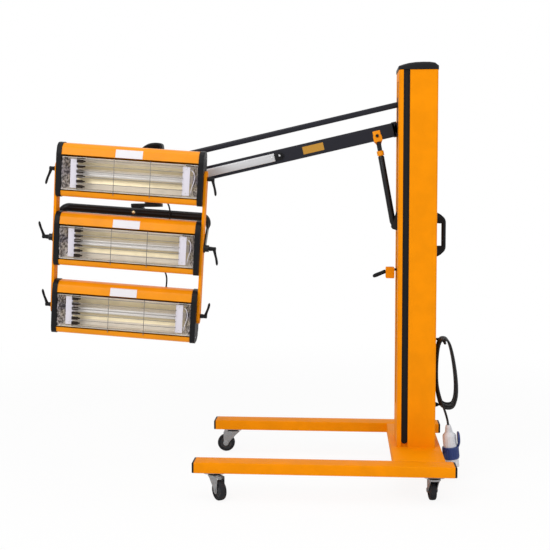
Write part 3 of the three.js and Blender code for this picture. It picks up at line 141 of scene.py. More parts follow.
class Surface:
    """One material under the hand, with its shader tree."""

    def __init__(self, name: str) -> None:
        """Starts a material that holds one Principled shader.

        Args:
            name: the material's name.
        """
        self.material = bpy.data.materials.new(name)
        self.material.use_nodes = True
        self.tree = self.material.node_tree
        self.shader = self.tree.nodes["Principled BSDF"]

    def node(self, kind: str, settings: dict | None = None, inputs: dict | None = None) -> bpy.types.Node:
        """Adds a node.

        Args:
            kind: the node's type.
            settings: its own settings, which are set first.
            inputs: values or wires for its sockets, by name or number.

        Returns:
            The node.
        """
        made = self.tree.nodes.new(kind)
        for key, value in (settings or {}).items():
            setattr(made, key, value)
        for key, value in (inputs or {}).items():
            if isinstance(value, Wire):
                self.tree.links.new(value.socket, made.inputs[key])
            else:
                made.inputs[key].default_value = value
        return made

    def out(self, made: bpy.types.Node, key: str | int) -> Wire:
        """A node's output as a wire."""
        return Wire(self, made.outputs[key])

    def place(self, stretch: Point = (1.0, 1.0, 1.0)) -> Wire:
        """Object coordinates, stretched along each axis.

        Args:
            stretch: how far along each axis.

        Returns:
            The coordinates.
        """
        where = self.out(self.node("ShaderNodeTexCoord"), "Object")
        made = self.node("ShaderNodeMapping", {"vector_type": "TEXTURE"},
                         {"Vector": where, "Scale": stretch})
        return self.out(made, "Vector")

    def noise(self, size: float, detail: float = 2.0, stretch: Point = (1.0, 1.0, 1.0)) -> Wire:
        """A cloudy value from 0 to 1.

        Args:
            size: the clouds' size in millimetres.
            detail: how many finer layers they have.
            stretch: how far they are drawn out along each axis.

        Returns:
            The value.
        """
        inputs = {"Vector": self.place(stretch), "Scale": 1 / (size * MM), "Detail": detail,
                  "Roughness": 0.55}
        return self.out(self.node("ShaderNodeTexNoise", {}, inputs), 0)

    def cells(self, size: float, stretch: Point = (1.0, 1.0, 1.0)) -> Wire:
        """Distance to the nearest of many scattered points.

        Args:
            size: the points' spacing in millimetres.
            stretch: how far the pattern is drawn out along each axis.

        Returns:
            The value.
        """
        inputs = {"Vector": self.place(stretch), "Scale": 1 / (size * MM)}
        return self.out(self.node("ShaderNodeTexVoronoi", {}, inputs), "Distance")

    def edges(self, radius: float) -> Wire:
        """A value of 1 on outer and inner edges and 0 on flats.

        Args:
            radius: how wide the edge is in millimetres.

        Returns:
            The value.
        """
        soft = self.out(self.node("ShaderNodeBevel", {"samples": 4}, {"Radius": radius * MM}), 0)
        plain = self.out(self.node("ShaderNodeNewGeometry"), "Normal")
        dot = self.node("ShaderNodeVectorMath", {"operation": "DOT_PRODUCT"}, {0: soft, 1: plain})
        return (1.0 - self.out(dot, "Value")).between(0.02, 0.25)

    def mix(self, share: Wire | float, first: "Wire | Sequence[float]",
            second: "Wire | Sequence[float]") -> Wire:
        """A blend of two colours.

        Args:
            share: how much of the second colour there is.
            first: the colour at 0.
            second: the colour at 1.

        Returns:
            The colour.
        """
        ends = [c if isinstance(c, Wire) else (*c, 1.0) for c in (first, second)]
        made = self.node("ShaderNodeMix", {"data_type": "RGBA"}, {0: share, 6: ends[0], 7: ends[1]})
        return self.out(made, 2)

    def bump(self, height: Wire, depth: float, strength: float = 1.0) -> None:
        """Raises the surface by a value, over a depth in millimetres.

        Args:
            height: the value.
            depth: how deep it is at 1.
            strength: how much of it shows.
        """
        inputs = {"Height": height, "Distance": depth * MM, "Strength": strength}
        self.wear("Normal", self.out(self.node("ShaderNodeBump", {}, inputs), "Normal"))

    def wear(self, key: str, value: "Wire | float | Sequence[float]") -> None:
        """Sets or links one socket of the shader.

        Args:
            key: the socket's name.
            value: its value or its wire.
        """
        if isinstance(value, Wire):
            self.tree.links.new(value.socket, self.shader.inputs[key])
        else:
            self.shader.inputs[key].default_value = value


def shade(colour: Sequence[float], factor: float) -> tuple[float, ...]:
    """A colour made darker or lighter by a factor."""
    return tuple(min(1.0, channel * factor) for channel in colour)


@dataclass(frozen=True)
class Paint:
    """Powder coat or wet paint on steel: a fine orange peel, thin at the edges."""

    name: str
    colour: Point
    roughness: float = 0.36
    coat: float = 0.12
    gloss: float = 0.3
    peel: float = 2.2
    depth: float = 0.05
    worn: Point = (0.30, 0.24, 0.18)
    wear: float = 0.35

    def made(self) -> bpy.types.Material:
        """The paint's material.

        Returns:
            The material.
        """
        s = Surface(self.name)
        cloud = s.noise(90, 3)
        base = s.mix(cloud.between(0.3, 0.7), shade(self.colour, 0.95), shade(self.colour, 1.04))
        rubbed = s.edges(1.2) * s.noise(14, 4).between(0.52, 0.72) * self.wear
        s.wear("Base Color", s.mix(rubbed, base, self.worn))
        s.wear("Roughness", self.roughness + 0.10 * cloud + 0.2 * rubbed)
        s.wear("Coat Weight", self.coat)
        s.wear("Coat Roughness", 0.12)
        s.wear("Specular IOR Level", self.gloss)
        s.bump(s.noise(self.peel, 2), self.depth)
        return s.material


@dataclass(frozen=True)
class Plastic:
    """Moulded plastic or rubber with a fine spark texture and dust in its hollows."""

    name: str
    colour: Point
    roughness: float = 0.5
    grain: float = 0.9
    depth: float = 0.05
    dust: float = 0.25
    gloss: float = 0.14

    def made(self) -> bpy.types.Material:
        """The plastic's material.

        Returns:
            The material.
        """
        s = Surface(self.name)
        cloud = s.noise(45, 4)
        pale = s.edges(0.8) * 0.5 + cloud.between(0.5, 0.8) * self.dust
        s.wear("Base Color", s.mix(pale * 0.35, self.colour, shade(self.colour, 2.2)))
        s.wear("Roughness", self.roughness + 0.12 * cloud)
        s.wear("Specular IOR Level", self.gloss)
        s.bump(s.noise(self.grain, 1), self.depth)
        return s.material


@dataclass(frozen=True)
class Metal:
    """Bare metal: rolled, drawn or plated, with a run of fine scratches."""

    name: str
    colour: Point
    roughness: float = 0.3
    run: Point = (1.0, 1.0, 1.0)
    size: float = 3.0
    depth: float = 0.02
    tarnish: Point = (0.35, 0.34, 0.33)
    share: float = 0.3
    metallic: float = 1.0

    def made(self) -> bpy.types.Material:
        """The metal's material.

        Returns:
            The material.
        """
        s = Surface(self.name)
        streak = s.noise(self.size, 4, self.run)
        stain = s.noise(38, 3).between(0.45, 0.8) * self.share
        s.wear("Base Color", s.mix(stain, self.colour, self.tarnish))
        s.wear("Metallic", self.metallic)
        s.wear("Roughness", self.roughness + 0.16 * streak + 0.15 * stain)
        s.bump(streak, self.depth)
        return s.material


@dataclass(frozen=True)
class Spangle:
    """Zinc plate on pressed steel: a patchwork of faintly different crystals."""

    name: str
    colour: Point = (0.31, 0.315, 0.32)
    size: float = 5.0

    def made(self) -> bpy.types.Material:
        """The plate's material.

        Returns:
            The material.
        """
        s = Surface(self.name)
        cell = s.cells(self.size)
        grime = s.edges(1.5) * 0.4 + s.noise(20, 4).between(0.5, 0.8) * 0.3
        plain = s.mix(cell, shade(self.colour, 1.1), shade(self.colour, 0.8))
        s.wear("Base Color", s.mix(grime, plain, (0.22, 0.21, 0.2)))
        s.wear("Metallic", 1.0)
        s.wear("Roughness", 0.28 + 0.2 * cell + 0.2 * grime)
        s.bump(s.noise(2.5, 3), 0.03)
        return s.material


@dataclass(frozen=True)
class Foil:
    """Thin reflector sheet: polished lengthwise, or crinkled where it is a loose foil, with painted shade
    along its folds.
    """

    name: str
    colour: Point
    roughness: float = 0.2
    crinkle: float = 0.0
    size: float = 9.0
    metallic: float = 1.0

    def made(self) -> bpy.types.Material:
        """The sheet's material.

        Returns:
            The material.
        """
        s = Surface(self.name)
        roll = s.noise(2.5, 3, (30.0, 1.0, 1.0))
        crease = s.cells(self.size) * self.crinkle
        haze = s.noise(60, 2).between(0.35, 0.75)
        # On crinkled foil, thin dark lines along the folds are painted shade in the creases; on a smooth
        # sheet this is only a mild streaky tone.
        streaks_and_fold_shade = (s.noise(self.size * 1.4, 4).between(0.44, 0.56) * 0.85 if self.crinkle
                 else haze * 0.5 + roll * 0.3)
        s.wear("Base Color", s.mix(streaks_and_fold_shade, self.colour, shade(self.colour, 0.12 if self.crinkle else 0.8)))
        s.wear("Metallic", self.metallic)
        s.wear("Roughness", self.roughness + 0.12 * roll + 0.1 * haze)
        s.bump(roll * 0.05 + crease, 1.4 if self.crinkle else 0.2)
        return s.material


@dataclass(frozen=True)
class Quartz:
    """Milky quartz with a warm coat, glossy outside."""

    name: str
    colour: Point = (0.74, 0.71, 0.68)

    def made(self) -> bpy.types.Material:
        """The tube's material.

        Returns:
            The material.
        """
        s = Surface(self.name)
        band = s.noise(16, 2, (12.0, 1.0, 1.0))
        s.wear("Base Color", s.mix(band, self.colour, shade(self.colour, 0.9)))
        s.wear("Roughness", 0.1 + 0.08 * band)
        s.wear("Coat Weight", 0.6)
        s.wear("Coat Roughness", 0.05)
        return s.material


@dataclass(frozen=True)
class Cable:
    """Black PVC or rubber flex: satin, with faint dents and dust."""

    name: str
    colour: Point = (0.008, 0.008, 0.009)

    def made(self) -> bpy.types.Material:
        """The flex's material.

        Returns:
            The material.
        """
        s = Surface(self.name)
        dust = s.noise(30, 4).between(0.5, 0.85)
        s.wear("Base Color", s.mix(dust * 0.3, self.colour, (0.05, 0.048, 0.045)))
        s.wear("Roughness", 0.34 + 0.22 * dust)
        s.wear("Specular IOR Level", 0.25)
        s.bump(s.noise(5, 2), 0.12)
        return s.material


class Look(Enum):
    """Every finish on the lamp."""

    ORANGE = Paint("orange_powder_coat", (0.85, 0.265, 0.0), 0.46, 0.0, 0.06)
    SHEET = Paint("orange_sheet_coat", (0.82, 0.275, 0.001), 0.34, 0.05, 0.15, peel=1.6)
    BLACK = Paint("black_steel_coat", SOOT, 0.34, 0.1, 0.2, worn=SCUFF)
    ARM = Paint("blue_black_arm_coat", (0.008, 0.008, 0.014), 0.28, 0.08, 0.2, worn=SCUFF)
    PLASTIC = Plastic("black_moulding", SOOT, 0.42)
    GRIP = Plastic("black_grip", SOOT, 0.55, grain=1.4, depth=0.1)
    TYRE = Plastic("dark_tyre", (0.016, 0.016, 0.018), 0.6, grain=1.2, depth=0.08, dust=0.6)
    CORE = Plastic("grey_wheel_core", (0.045, 0.045, 0.048), 0.5, dust=0.8)
    LABEL = Plastic("blank_white_label", (0.72, 0.70, 0.73), 0.4, grain=3, depth=0.01, dust=0, gloss=0.5)
    PATCH = Plastic("blank_amber_label", (0.44, 0.21, 0.01), 0.35, grain=3, depth=0.01, dust=0, gloss=0.5)
    CERAMIC = Plastic("white_ceramic_plate", (0.70, 0.67, 0.74), 0.45, grain=1.5, depth=0.03, dust=0,
                      gloss=0.5)
    CLIP = Plastic("dark_tube_clip", (0.022, 0.014, 0.010), 0.5, dust=0.6)
    ZINC = Spangle("zinc_plate")
    STEEL = Metal("bright_steel", (0.62, 0.62, 0.63), 0.24)
    GUARD = Metal("guard_wire", (0.24, 0.22, 0.20), 0.4)
    IRON = Metal("cast_iron", (0.10, 0.10, 0.105), 0.5, size=6, depth=0.2)
    ALUMINIUM = Metal("drawn_aluminium", (0.52, 0.52, 0.53), 0.4, (40.0, 1.0, 1.0), 1.4, share=0.02,
                      metallic=0.6)
    BRASS = Metal("brass_bolt", (0.60, 0.40, 0.15), 0.3, share=0.2)
    SATIN = Foil("satin_reflector", (0.87, 0.80, 0.70), 0.42, metallic=0.45)
    GOLD = Foil("gold_reflector", (0.84, 0.73, 0.50), 0.4, metallic=0.45)
    SILVER = Foil("crinkled_end_foil", (0.74, 0.72, 0.78), 0.25, 1.0, 7.0)
    QUARTZ = Quartz("milky_quartz")
    CABLE = Cable("black_flex")
    BLUE = Plastic("blue_plug_moulding", (0.005, 0.024, 0.14), 0.32, dust=0.1, gloss=0.5)
    WHITE = Plastic("white_plug_moulding", (0.62, 0.63, 0.66), 0.38, dust=0.1, gloss=0.5)

    def material(self) -> bpy.types.Material:
        """The look's material, made on first use."""
        return bpy.data.materials.get(self.value.name) or self.value.made()


# Modelling


def placed(x: float = 0, y: float = 0, z: float = 0, turns: Point = (0, 0, 0)) -> Matrix:
    """A place in millimetres with turns in degrees about X, Y and Z."""
    return Matrix.Translation((x, y, z)) @ Euler([math.radians(t) for t in turns]).to_matrix().to_4x4()


def facing(start: Sequence[float], end: Sequence[float]) -> Matrix:
    """A frame at the start whose Z looks at the end."""
    along = Vector(end) - Vector(start)
    return Matrix.Translation(start) @ along.to_track_quat("Z", "Y").to_matrix().to_4x4()


def once(items: Iterable) -> list:
    """The items in their order, each of them once, so that every run gives the same shape."""
    return list(dict.fromkeys(items))


class Form:
    """A shape in millimetres of its own frame, made with bmesh operators."""

    def __init__(self) -> None:
        """Starts with nothing."""
        self.mesh = bmesh.new()
        self.owner = self.mesh.faces.layers.int.new("owner")
        self.looks: list[Look] = []

    def claim(self, look: Look) -> None:
        """Gives each face that has no look yet this one.

        Args:
            look: the finish.
        """
        if look not in self.looks:
            self.looks.append(look)
        for face in self._fresh():
            face[self.owner] = 1
            face.material_index = self.looks.index(look)

    def _since(self, before: set[bmesh.types.BMVert]) -> list[bmesh.types.BMVert]:
        """The corners that weren't there before."""
        return [v for v in self.mesh.verts if v not in before]

    def _fresh(self) -> list[bmesh.types.BMFace]:
        """The faces that have no look yet."""
        return [f for f in self.mesh.faces if not f[self.owner]]

    def soften(self, edges: Iterable[bmesh.types.BMEdge], by: float, segments: int) -> None:
        """Rounds edges by a radius in millimetres.

        Args:
            edges: the edges.
            by: the radius.
            segments: the steps of the rounding.
        """
        chosen = list(edges)
        if by > 0 and chosen:
            bmesh.ops.bevel(self.mesh, geom=chosen, offset=by, offset_type="OFFSET", segments=segments,
                            profile=0.5, affect="EDGES", clamp_overlap=True, material=-1)

    def _edges_of(self, verts: Iterable[bmesh.types.BMVert],
                  sharper: float = 0.6) -> list[bmesh.types.BMEdge]:
        """The sharp edges among some corners."""
        found = once(e for v in verts for e in v.link_edges)
        return [e for e in found if len(e.link_faces) == 2 and e.calc_face_angle(0) > sharper]

    def box(self, low: Point, high: Point, look: Look, by: float = 1.0, frame: Matrix = Matrix(),
            segments: int = 3) -> "Form":
        """Adds a block with rounded edges.

        Args:
            low: its lowest corner.
            high: its highest corner.
            look: its finish.
            by: the edges' radius.
            frame: where it stands.
            segments: the steps of each rounded edge.

        Returns:
            This form.
        """
        size = Vector(high) - Vector(low)
        middle = (Vector(high) + Vector(low)) / 2
        matrix = frame @ Matrix.Translation(middle) @ Matrix.Diagonal((*size, 1))
        made = bmesh.ops.create_cube(self.mesh, size=1.0, matrix=matrix)
        self.soften(self._edges_of(made["verts"]), by, segments)
        self.claim(look)
        return self

    def ribs(self, count: int, low: Point, high: Point, look: Look, by: float,
             frame: Matrix = Matrix()) -> "Form":
        """Adds equal blocks round the frame's Z axis.

        Args:
            count: how many there are.
            low: the lowest corner of the first.
            high: its highest corner.
            look: their finish.
            by: their edges' radius.
            frame: where the axis stands.

        Returns:
            This form.
        """
        for i in range(count):
            self.box(low, high, look, by, frame @ placed(turns=(0, 0, i * 360 / count)), 1)
        return self

    def rod(self, start: Point, end: Point, radius: float, look: Look, tip: float | None = None,
            by: float = 0.6, sides: int = 32, frame: Matrix = Matrix()) -> "Form":
        """Adds a round or many-sided bar between two points.

        Args:
            start: the middle of its first end.
            end: the middle of its other end.
            radius: its radius at the start.
            look: its finish.
            tip: its radius at the end, where that differs.
            by: the rims' radius.
            sides: how many sides it has.
            frame: where the points are measured.

        Returns:
            This form.
        """
        length = (Vector(end) - Vector(start)).length
        matrix = frame @ facing(start, end) @ Matrix.Translation((0, 0, length / 2))
        made = bmesh.ops.create_cone(self.mesh, cap_ends=True, cap_tris=False, segments=sides,
                                     radius1=radius, radius2=radius if tip is None else tip,
                                     depth=length, matrix=matrix)
        self.soften(self._edges_of(made["verts"], 1.0 if sides > 8 else 0.6), by, 2)
        self.claim(look)
        return self

    def turned(self, profile: Sequence[Pair], look: Look, frame: Matrix = Matrix(), steps: int = 48,
               ring: bool = False) -> "Form":
        """Adds a shape turned about the frame's Z axis.

        Args:
            profile: pairs of a radius and a height, in order.
            look: its finish.
            frame: where its axis stands.
            steps: how many steps one turn has.
            ring: whether the profile closes on itself.

        Returns:
            This form.
        """
        verts = [self.mesh.verts.new((r, 0, z)) for r, z in profile]
        pairs = list(zip(verts, verts[1:])) + ([(verts[-1], verts[0])] if ring else [])
        edges = [self.mesh.edges.new(pair) for pair in pairs]
        before = set(self.mesh.verts) - set(verts)
        bmesh.ops.spin(self.mesh, geom=verts + edges, cent=(0, 0, 0), axis=(0, 0, 1), angle=2 * math.pi,
                       steps=steps, use_merge=True, use_duplicate=False)
        fresh = self._since(before)
        bmesh.ops.remove_doubles(self.mesh, verts=fresh, dist=MERGE)
        fresh = self._since(before)
        faces = once(f for v in fresh for f in v.link_faces)
        bmesh.ops.recalc_face_normals(self.mesh, faces=faces)
        bmesh.ops.transform(self.mesh, matrix=frame, verts=fresh)
        self.claim(look)
        return self

    def plate(self, outline: Sequence[Pair], thickness: float, look: Look, frame: Matrix = Matrix(),
              corner: float = 0.0, by: float = 0.4, under: bool = True) -> "Form":
        """Adds a flat shape with thickness along the frame's Z axis.

        Args:
            outline: its corners in the frame's X and Y.
            thickness: how thick it is.
            look: its finish.
            frame: where its outline lies.
            corner: the radius of its corners.
            by: the radius of its rims.
            under: whether the rim at the outline is rounded too.

        Returns:
            This form.
        """
        verts = [self.mesh.verts.new((x, y, 0)) for x, y in outline]
        face = self.mesh.faces.new(verts)
        grown = bmesh.ops.extrude_face_region(self.mesh, geom=[face])["geom"]
        top = [g for g in grown if isinstance(g, bmesh.types.BMVert)]
        bmesh.ops.translate(self.mesh, vec=(0, 0, thickness), verts=top)
        faces = once(f for v in verts + top for f in v.link_faces)
        bmesh.ops.recalc_face_normals(self.mesh, faces=faces)
        low = set(verts)
        rails = [e for v in top for e in v.link_edges if e.other_vert(v) in low]
        self.soften(rails, corner, 5)
        fresh = [f for f in self._fresh() if (abs(f.normal.z) if under else f.normal.z) > 0.99]
        self.soften(once(e for f in fresh for e in f.edges), by, 5 if by > 3 else 2)
        bmesh.ops.transform(self.mesh, matrix=frame, verts=once(v for f in self._fresh() for v in f.verts))
        self.claim(look)
        return self

    def wire(self, points: Sequence[Sequence[float]], radii: "float | Sequence[float]", look: Look,
             sides: int = 16, frame: Matrix = Matrix()) -> "Form":
        """Adds a round bar bent along some points.

        Args:
            points: the points that its middle follows.
            radii: its radius, or one for each point.
            look: its finish.
            sides: how many sides it has.
            frame: where the points are measured.

        Returns:
            This form.
        """
        path = [Vector(p) for p in points]
        sizes = [radii] * len(path) if isinstance(radii, (int, float)) else list(radii)
        turn = (path[1] - path[0]).to_track_quat("Z", "Y")
        rings: list[list[bmesh.types.BMEdge]] = []
        for i, place in enumerate(path):
            along = path[min(i + 1, len(path) - 1)] - path[max(i - 1, 0)]
            turn = (turn @ Vector((0, 0, 1))).rotation_difference(along) @ turn
            matrix = frame @ Matrix.Translation(place) @ turn.to_matrix().to_4x4()
            made = bmesh.ops.create_circle(self.mesh, cap_ends=False, segments=sides,
                                           radius=max(sizes[i], 0.05), matrix=matrix)
            rings.append(once(e for v in made["verts"] for e in v.link_edges))
        for first, second in zip(rings, rings[1:]):
            bmesh.ops.bridge_loops(self.mesh, edges=first + second)
        bmesh.ops.holes_fill(self.mesh, edges=rings[0] + rings[-1], sides=sides)
        bmesh.ops.recalc_face_normals(self.mesh, faces=self._fresh())
        self.claim(look)
        return self

    def sheet(self, line: Sequence[Pair], span: Pair, thickness: float, look: Look, by: float,
              frame: Matrix = Matrix()) -> "Form":
        """Adds a folded sheet: a line in Y and Z drawn out along X.

        Args:
            line: the folded line, in order.
            span: where it starts and ends along X.
            thickness: how thick the sheet is, inwards.
            look: its finish.
            by: the radius of its folds.
            frame: where it stands.

        Returns:
            This form.
        """
        verts = [self.mesh.verts.new((span[0], y, z)) for y, z in line]
        edges = [self.mesh.edges.new(pair) for pair in zip(verts, verts[1:])]
        grown = bmesh.ops.extrude_edge_only(self.mesh, edges=edges)["geom"]
        far = [g for g in grown if isinstance(g, bmesh.types.BMVert)]
        bmesh.ops.translate(self.mesh, vec=(span[1] - span[0], 0, 0), verts=far)
        near = set(verts)
        streaks_and_fold_shade = [e for v in far for e in v.link_edges if e.other_vert(v) in near and len(e.link_faces) == 2]
        self.soften(streaks_and_fold_shade, by, 4)
        faces = self._fresh()
        bmesh.ops.recalc_face_normals(self.mesh, faces=faces)
        bmesh.ops.solidify(self.mesh, geom=faces, thickness=thickness)
        fresh = self._fresh()
        bmesh.ops.recalc_face_normals(self.mesh, faces=fresh)
        bmesh.ops.transform(self.mesh, matrix=frame, verts=once(v for f in fresh for v in f.verts))
        self.claim(look)
        return self

    def node(self, source: bpy.types.Object, look: Look, frame: Matrix) -> "Form":
        """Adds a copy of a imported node, merged and with its flat faces made whole.

        Args:
            source: the node's object.
            look: its finish.
            frame: the frame that this form is in.

        Returns:
            This form.
        """
        before = set(self.mesh.verts)
        self.mesh.from_mesh(source.data)
        fresh = self._since(before)
        bmesh.ops.transform(self.mesh, matrix=frame.inverted() @ Matrix.Scale(1 / MM, 4), verts=fresh)
        bmesh.ops.remove_doubles(self.mesh, verts=fresh, dist=MERGE * 2)
        fresh = self._since(before)
        edges = once(e for v in fresh for e in v.link_edges)
        bmesh.ops.dissolve_limit(self.mesh, angle_limit=math.radians(0.7), use_dissolve_boundaries=False,
                                 verts=fresh, edges=edges, delimit=set())
        self.claim(look)
        return self

    def everything(self) -> list:
        """All corners, edges and faces."""
        return [*self.mesh.verts, *self.mesh.edges, *self.mesh.faces]

    def cut(self, place: Point, away: Sequence[float], geom: list | None = None,
            closed: bool = True) -> list:
        """Cuts off what lies beyond a plane.

        Args:
            place: a point of the plane.
            away: the way out of the shape there.
            geom: the corners, edges and faces to be cut, where that isn't the whole form.
            closed: whether the cut is filled.

        Returns:
            What is left of them.
        """
        whole = self.everything() if geom is None else geom
        made = bmesh.ops.bisect_plane(self.mesh, geom=whole, dist=CUT, plane_co=place, plane_no=away,
                                      clear_outer=True)
        if closed:
            rim = [g for g in made["geom_cut"] if isinstance(g, bmesh.types.BMEdge)]
            bmesh.ops.holes_fill(self.mesh, edges=rim, sides=0)
        return once(g for g in made["geom"] + made["geom_cut"] if g.is_valid)

    def recolour(self, look: Look, where: Callable[[Vector], bool]) -> "Form":
        """Gives the faces whose middle passes a test another look.

        Args:
            look: the finish.
            where: the test of a face's middle.

        Returns:
            This form.
        """
        if look not in self.looks:
            self.looks.append(look)
        for face in self.mesh.faces:
            if where(face.calc_center_median()):
                face.material_index = self.looks.index(look)
        return self


@dataclass
class Bench:
    """What every sub-assembly is built on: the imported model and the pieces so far."""

    nodes: dict[str, bpy.types.Object]
    count: int = 0

    def piece(self, form: Form, name: str, body: str, frame: Matrix, slot: str,
              stands_for: Sequence[str] = (), soften: float = 0.0,
              smooth: float = 35.0) -> bpy.types.Object:
        """Turns a form into a piece of the scene.

        Args:
            form: the shape.
            name: the piece's name.
            body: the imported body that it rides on.
            frame: where the form stands, in millimetres of the row frame.
            slot: the record's material slot of its main finish.
            stands_for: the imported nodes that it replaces.
            soften: the radius in millimetres of a last rounding of its sharp edges.
            smooth: the angle in degrees above which an edge stays sharp.

        Returns:
            The piece.
        """
        form.mesh.faces.layers.int.remove(form.owner)
        bmesh.ops.transform(form.mesh, matrix=Matrix.Scale(MM, 4) @ frame, verts=form.mesh.verts)
        mesh = bpy.data.meshes.new(name)
        form.mesh.to_mesh(mesh)
        form.mesh.free()
        for extra in ("custom_normal", "sharp_edge", "sharp_face"):
            if extra in mesh.attributes:
                mesh.attributes.remove(mesh.attributes[extra])
        for look in form.looks:
            mesh.materials.append(look.material())
        mesh.shade_smooth()
        mesh.set_sharp_from_angle(angle=math.radians(smooth))
        made = bpy.data.objects.new(name, mesh)
        bpy.context.scene.collection.objects.link(made)
        if soften:
            rounding = made.modifiers.new("rounding", "BEVEL")
            rounding.width, rounding.segments, rounding.profile = soften * MM, 2, 0.5
            rounding.limit_method, rounding.angle_limit = "ANGLE", math.radians(smooth)
            rounding.harden_normals = True
        self.ride(made, body, slot, stands_for)
        log.info("%s: %d faces on %s", name, len(mesh.polygons), body)
        return made

    def ride(self, made: bpy.types.Object, body: str, slot: str, stands_for: Sequence[str]) -> None:
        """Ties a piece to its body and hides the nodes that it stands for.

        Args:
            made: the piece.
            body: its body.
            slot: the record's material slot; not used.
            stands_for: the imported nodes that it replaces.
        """
        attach(made, body)
        if stands_for:
            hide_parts(*stands_for)
        self.count += 1

    def dressed(self, node: str, body: str, look: Look, slot: str, soften: float) -> None:
        """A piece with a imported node's own shape, its edges softened.

        Args:
            node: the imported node.
            body: the body that it is on.
            look: its finish.
            slot: the record's slot of that finish.
            soften: its edges' radius in millimetres.
        """
        form = Form().node(self.nodes[node], look, Matrix())
        self.piece(form, node + "_dressed", body, Matrix(), slot, [node], soften)


@dataclass
class Assembly:
    """A group of pieces that is built on a bench."""

    bench: Bench


@dataclass(frozen=True)
class Places:
    """Where each sub-assembly's frame stands, in millimetres of the row frame."""

    column_x: float = 671.6617710966362
    column_depth: float = 150.0
    column_width: float = 200.0
    arm_pivot: Pair = (-62.0, 1394.0)
    link_spacing: float = 95.0
    arm_slope: float = 13.0
    strut_foot: Pair = (-88.0, 1006.0)
    strut_lean: float = 10.4658
    lock: Pair = (-101.0, 834.3)
    lock_drop: float = 23.0
    swivel_x: float = -1052.1641
    roll: Point = (-1115.1641, -58.0, 1062.0)
    head_roll: float = 4.0
    head_drop: Pair = (-82.0, -117.0)
    head_tilt: float = 5.0
    pitch: float = 270.0
    caster_spacing: float = 650.0
    casters: Pair = (-764.0, 50.0)

    def column(self) -> Matrix:
        """The column's middle on the floor."""
        return placed(self.column_x)

    def link(self, row: int) -> Matrix:
        """The pivot of the lower link, or of the upper one at row 1."""
        x, z = self.arm_pivot
        return self.column() @ placed(x, 0, z + row * self.link_spacing, (0, -self.arm_slope, 0))

    def strut(self) -> Matrix:
        """The strut's foot, with Z along the strut."""
        x, z = self.strut_foot
        return self.column() @ placed(x, 0, z, (0, -self.strut_lean, 0))

    def lock_lever(self) -> Matrix:
        """The lock lever's pivot."""
        x, z = self.lock
        return self.column() @ placed(x, 0, z, (0, -self.lock_drop, 0))

    def roll_bolt(self) -> Matrix:
        """The yoke's middle, turned as the head is."""
        return self.column() @ placed(*self.roll, (0, self.head_roll, 0))

    def head(self, row: float = 0) -> Matrix:
        """The middle of the head, or of the cassette that many rows up."""
        frame = self.roll_bolt() @ placed(0, *self.head_drop, (self.head_tilt, 0, 0))
        return frame @ placed(0, 0, row * self.pitch)

    def caster(self, end: int, side: int, trail: float) -> Matrix:
        """A caster's swivel axis on the floor, turned by its trail."""
        y = side * self.caster_spacing / 2
        return self.column() @ placed(self.casters[end > 0], y, 0, (0, 0, trail))


PLACES = Places()


def smooth_step(share: float) -> float:
    """A share from 0 to 1 with soft ends."""
    kept = min(1.0, max(0.0, share))
    return kept * kept * (3 - 2 * kept)


def bezier(ends: Sequence[Vector], steps: int) -> list[Vector]:
    """Points on a cubic curve.

    Args:
        ends: its four control points.
        steps: how many steps it has.

    Returns:
        The points, both ends among them.
    """
    a, b, c, d = ends
    shares = [i / steps for i in range(steps + 1)]
    return [a * (1 - t) ** 3 + b * 3 * t * (1 - t) ** 2 + c * 3 * t * t * (1 - t) + d * t ** 3
            for t in shares]


def flow(points: Sequence[Vector], steps: int) -> list[Vector]:
    """A smooth line through some points.

    Args:
        points: the points that it passes.
        steps: the steps from each to the next.

    Returns:
        The line's points.
    """
    line = [points[0] * 2 - points[1], *points, points[-1] * 2 - points[-2]]
    found = []
    for a, b, c, d in zip(line, line[1:], line[2:], line[3:]):
        for t in (i / steps for i in range(steps)):
            square, cube = a * 2 - b * 5 + c * 4 - d, b * 3 - a - c * 3 + d
            found.append((b * 2 + (c - a) * t + square * t * t + cube * t ** 3) / 2)
    return [*found, points[-1]]


def upright(pairs: Sequence[Pair], y: float = 0.0) -> list[Vector]:
    """Points in a plane across Y, from pairs of X and Z."""
    return [Vector((x, y, z)) for x, z in pairs]


def run_length(points: Sequence[Vector]) -> float:
    """The length in metres of a line whose points are in millimetres."""
    return sum((b - a).length for a, b in zip(points, points[1:])) * MM


# Camera and cords


@dataclass
class PhotoCamera:
    """The camera at the photograph's viewing angle."""

    place: Point = (0.38166, -3.990, 1.200)
    pitch: float = 86.7
    yaw: float = 3.87
    lens: float = 65.45
    sensor: float = 36.0
    shift: float = -0.0727

    def build(self) -> None:
        """Makes the camera and hands it to the scene."""
        data = bpy.data.cameras.new("photo_camera")
        data.lens, data.sensor_width, data.shift_y = self.lens, self.sensor, self.shift
        camera = bpy.data.objects.new("photo_camera", data)
        camera.location = self.place
        camera.rotation_euler = [math.radians(a) for a in (self.pitch, 0, self.yaw)]
        bpy.context.scene.collection.objects.link(camera)
        bpy.context.scene.camera = camera
        log.info("camera ready")


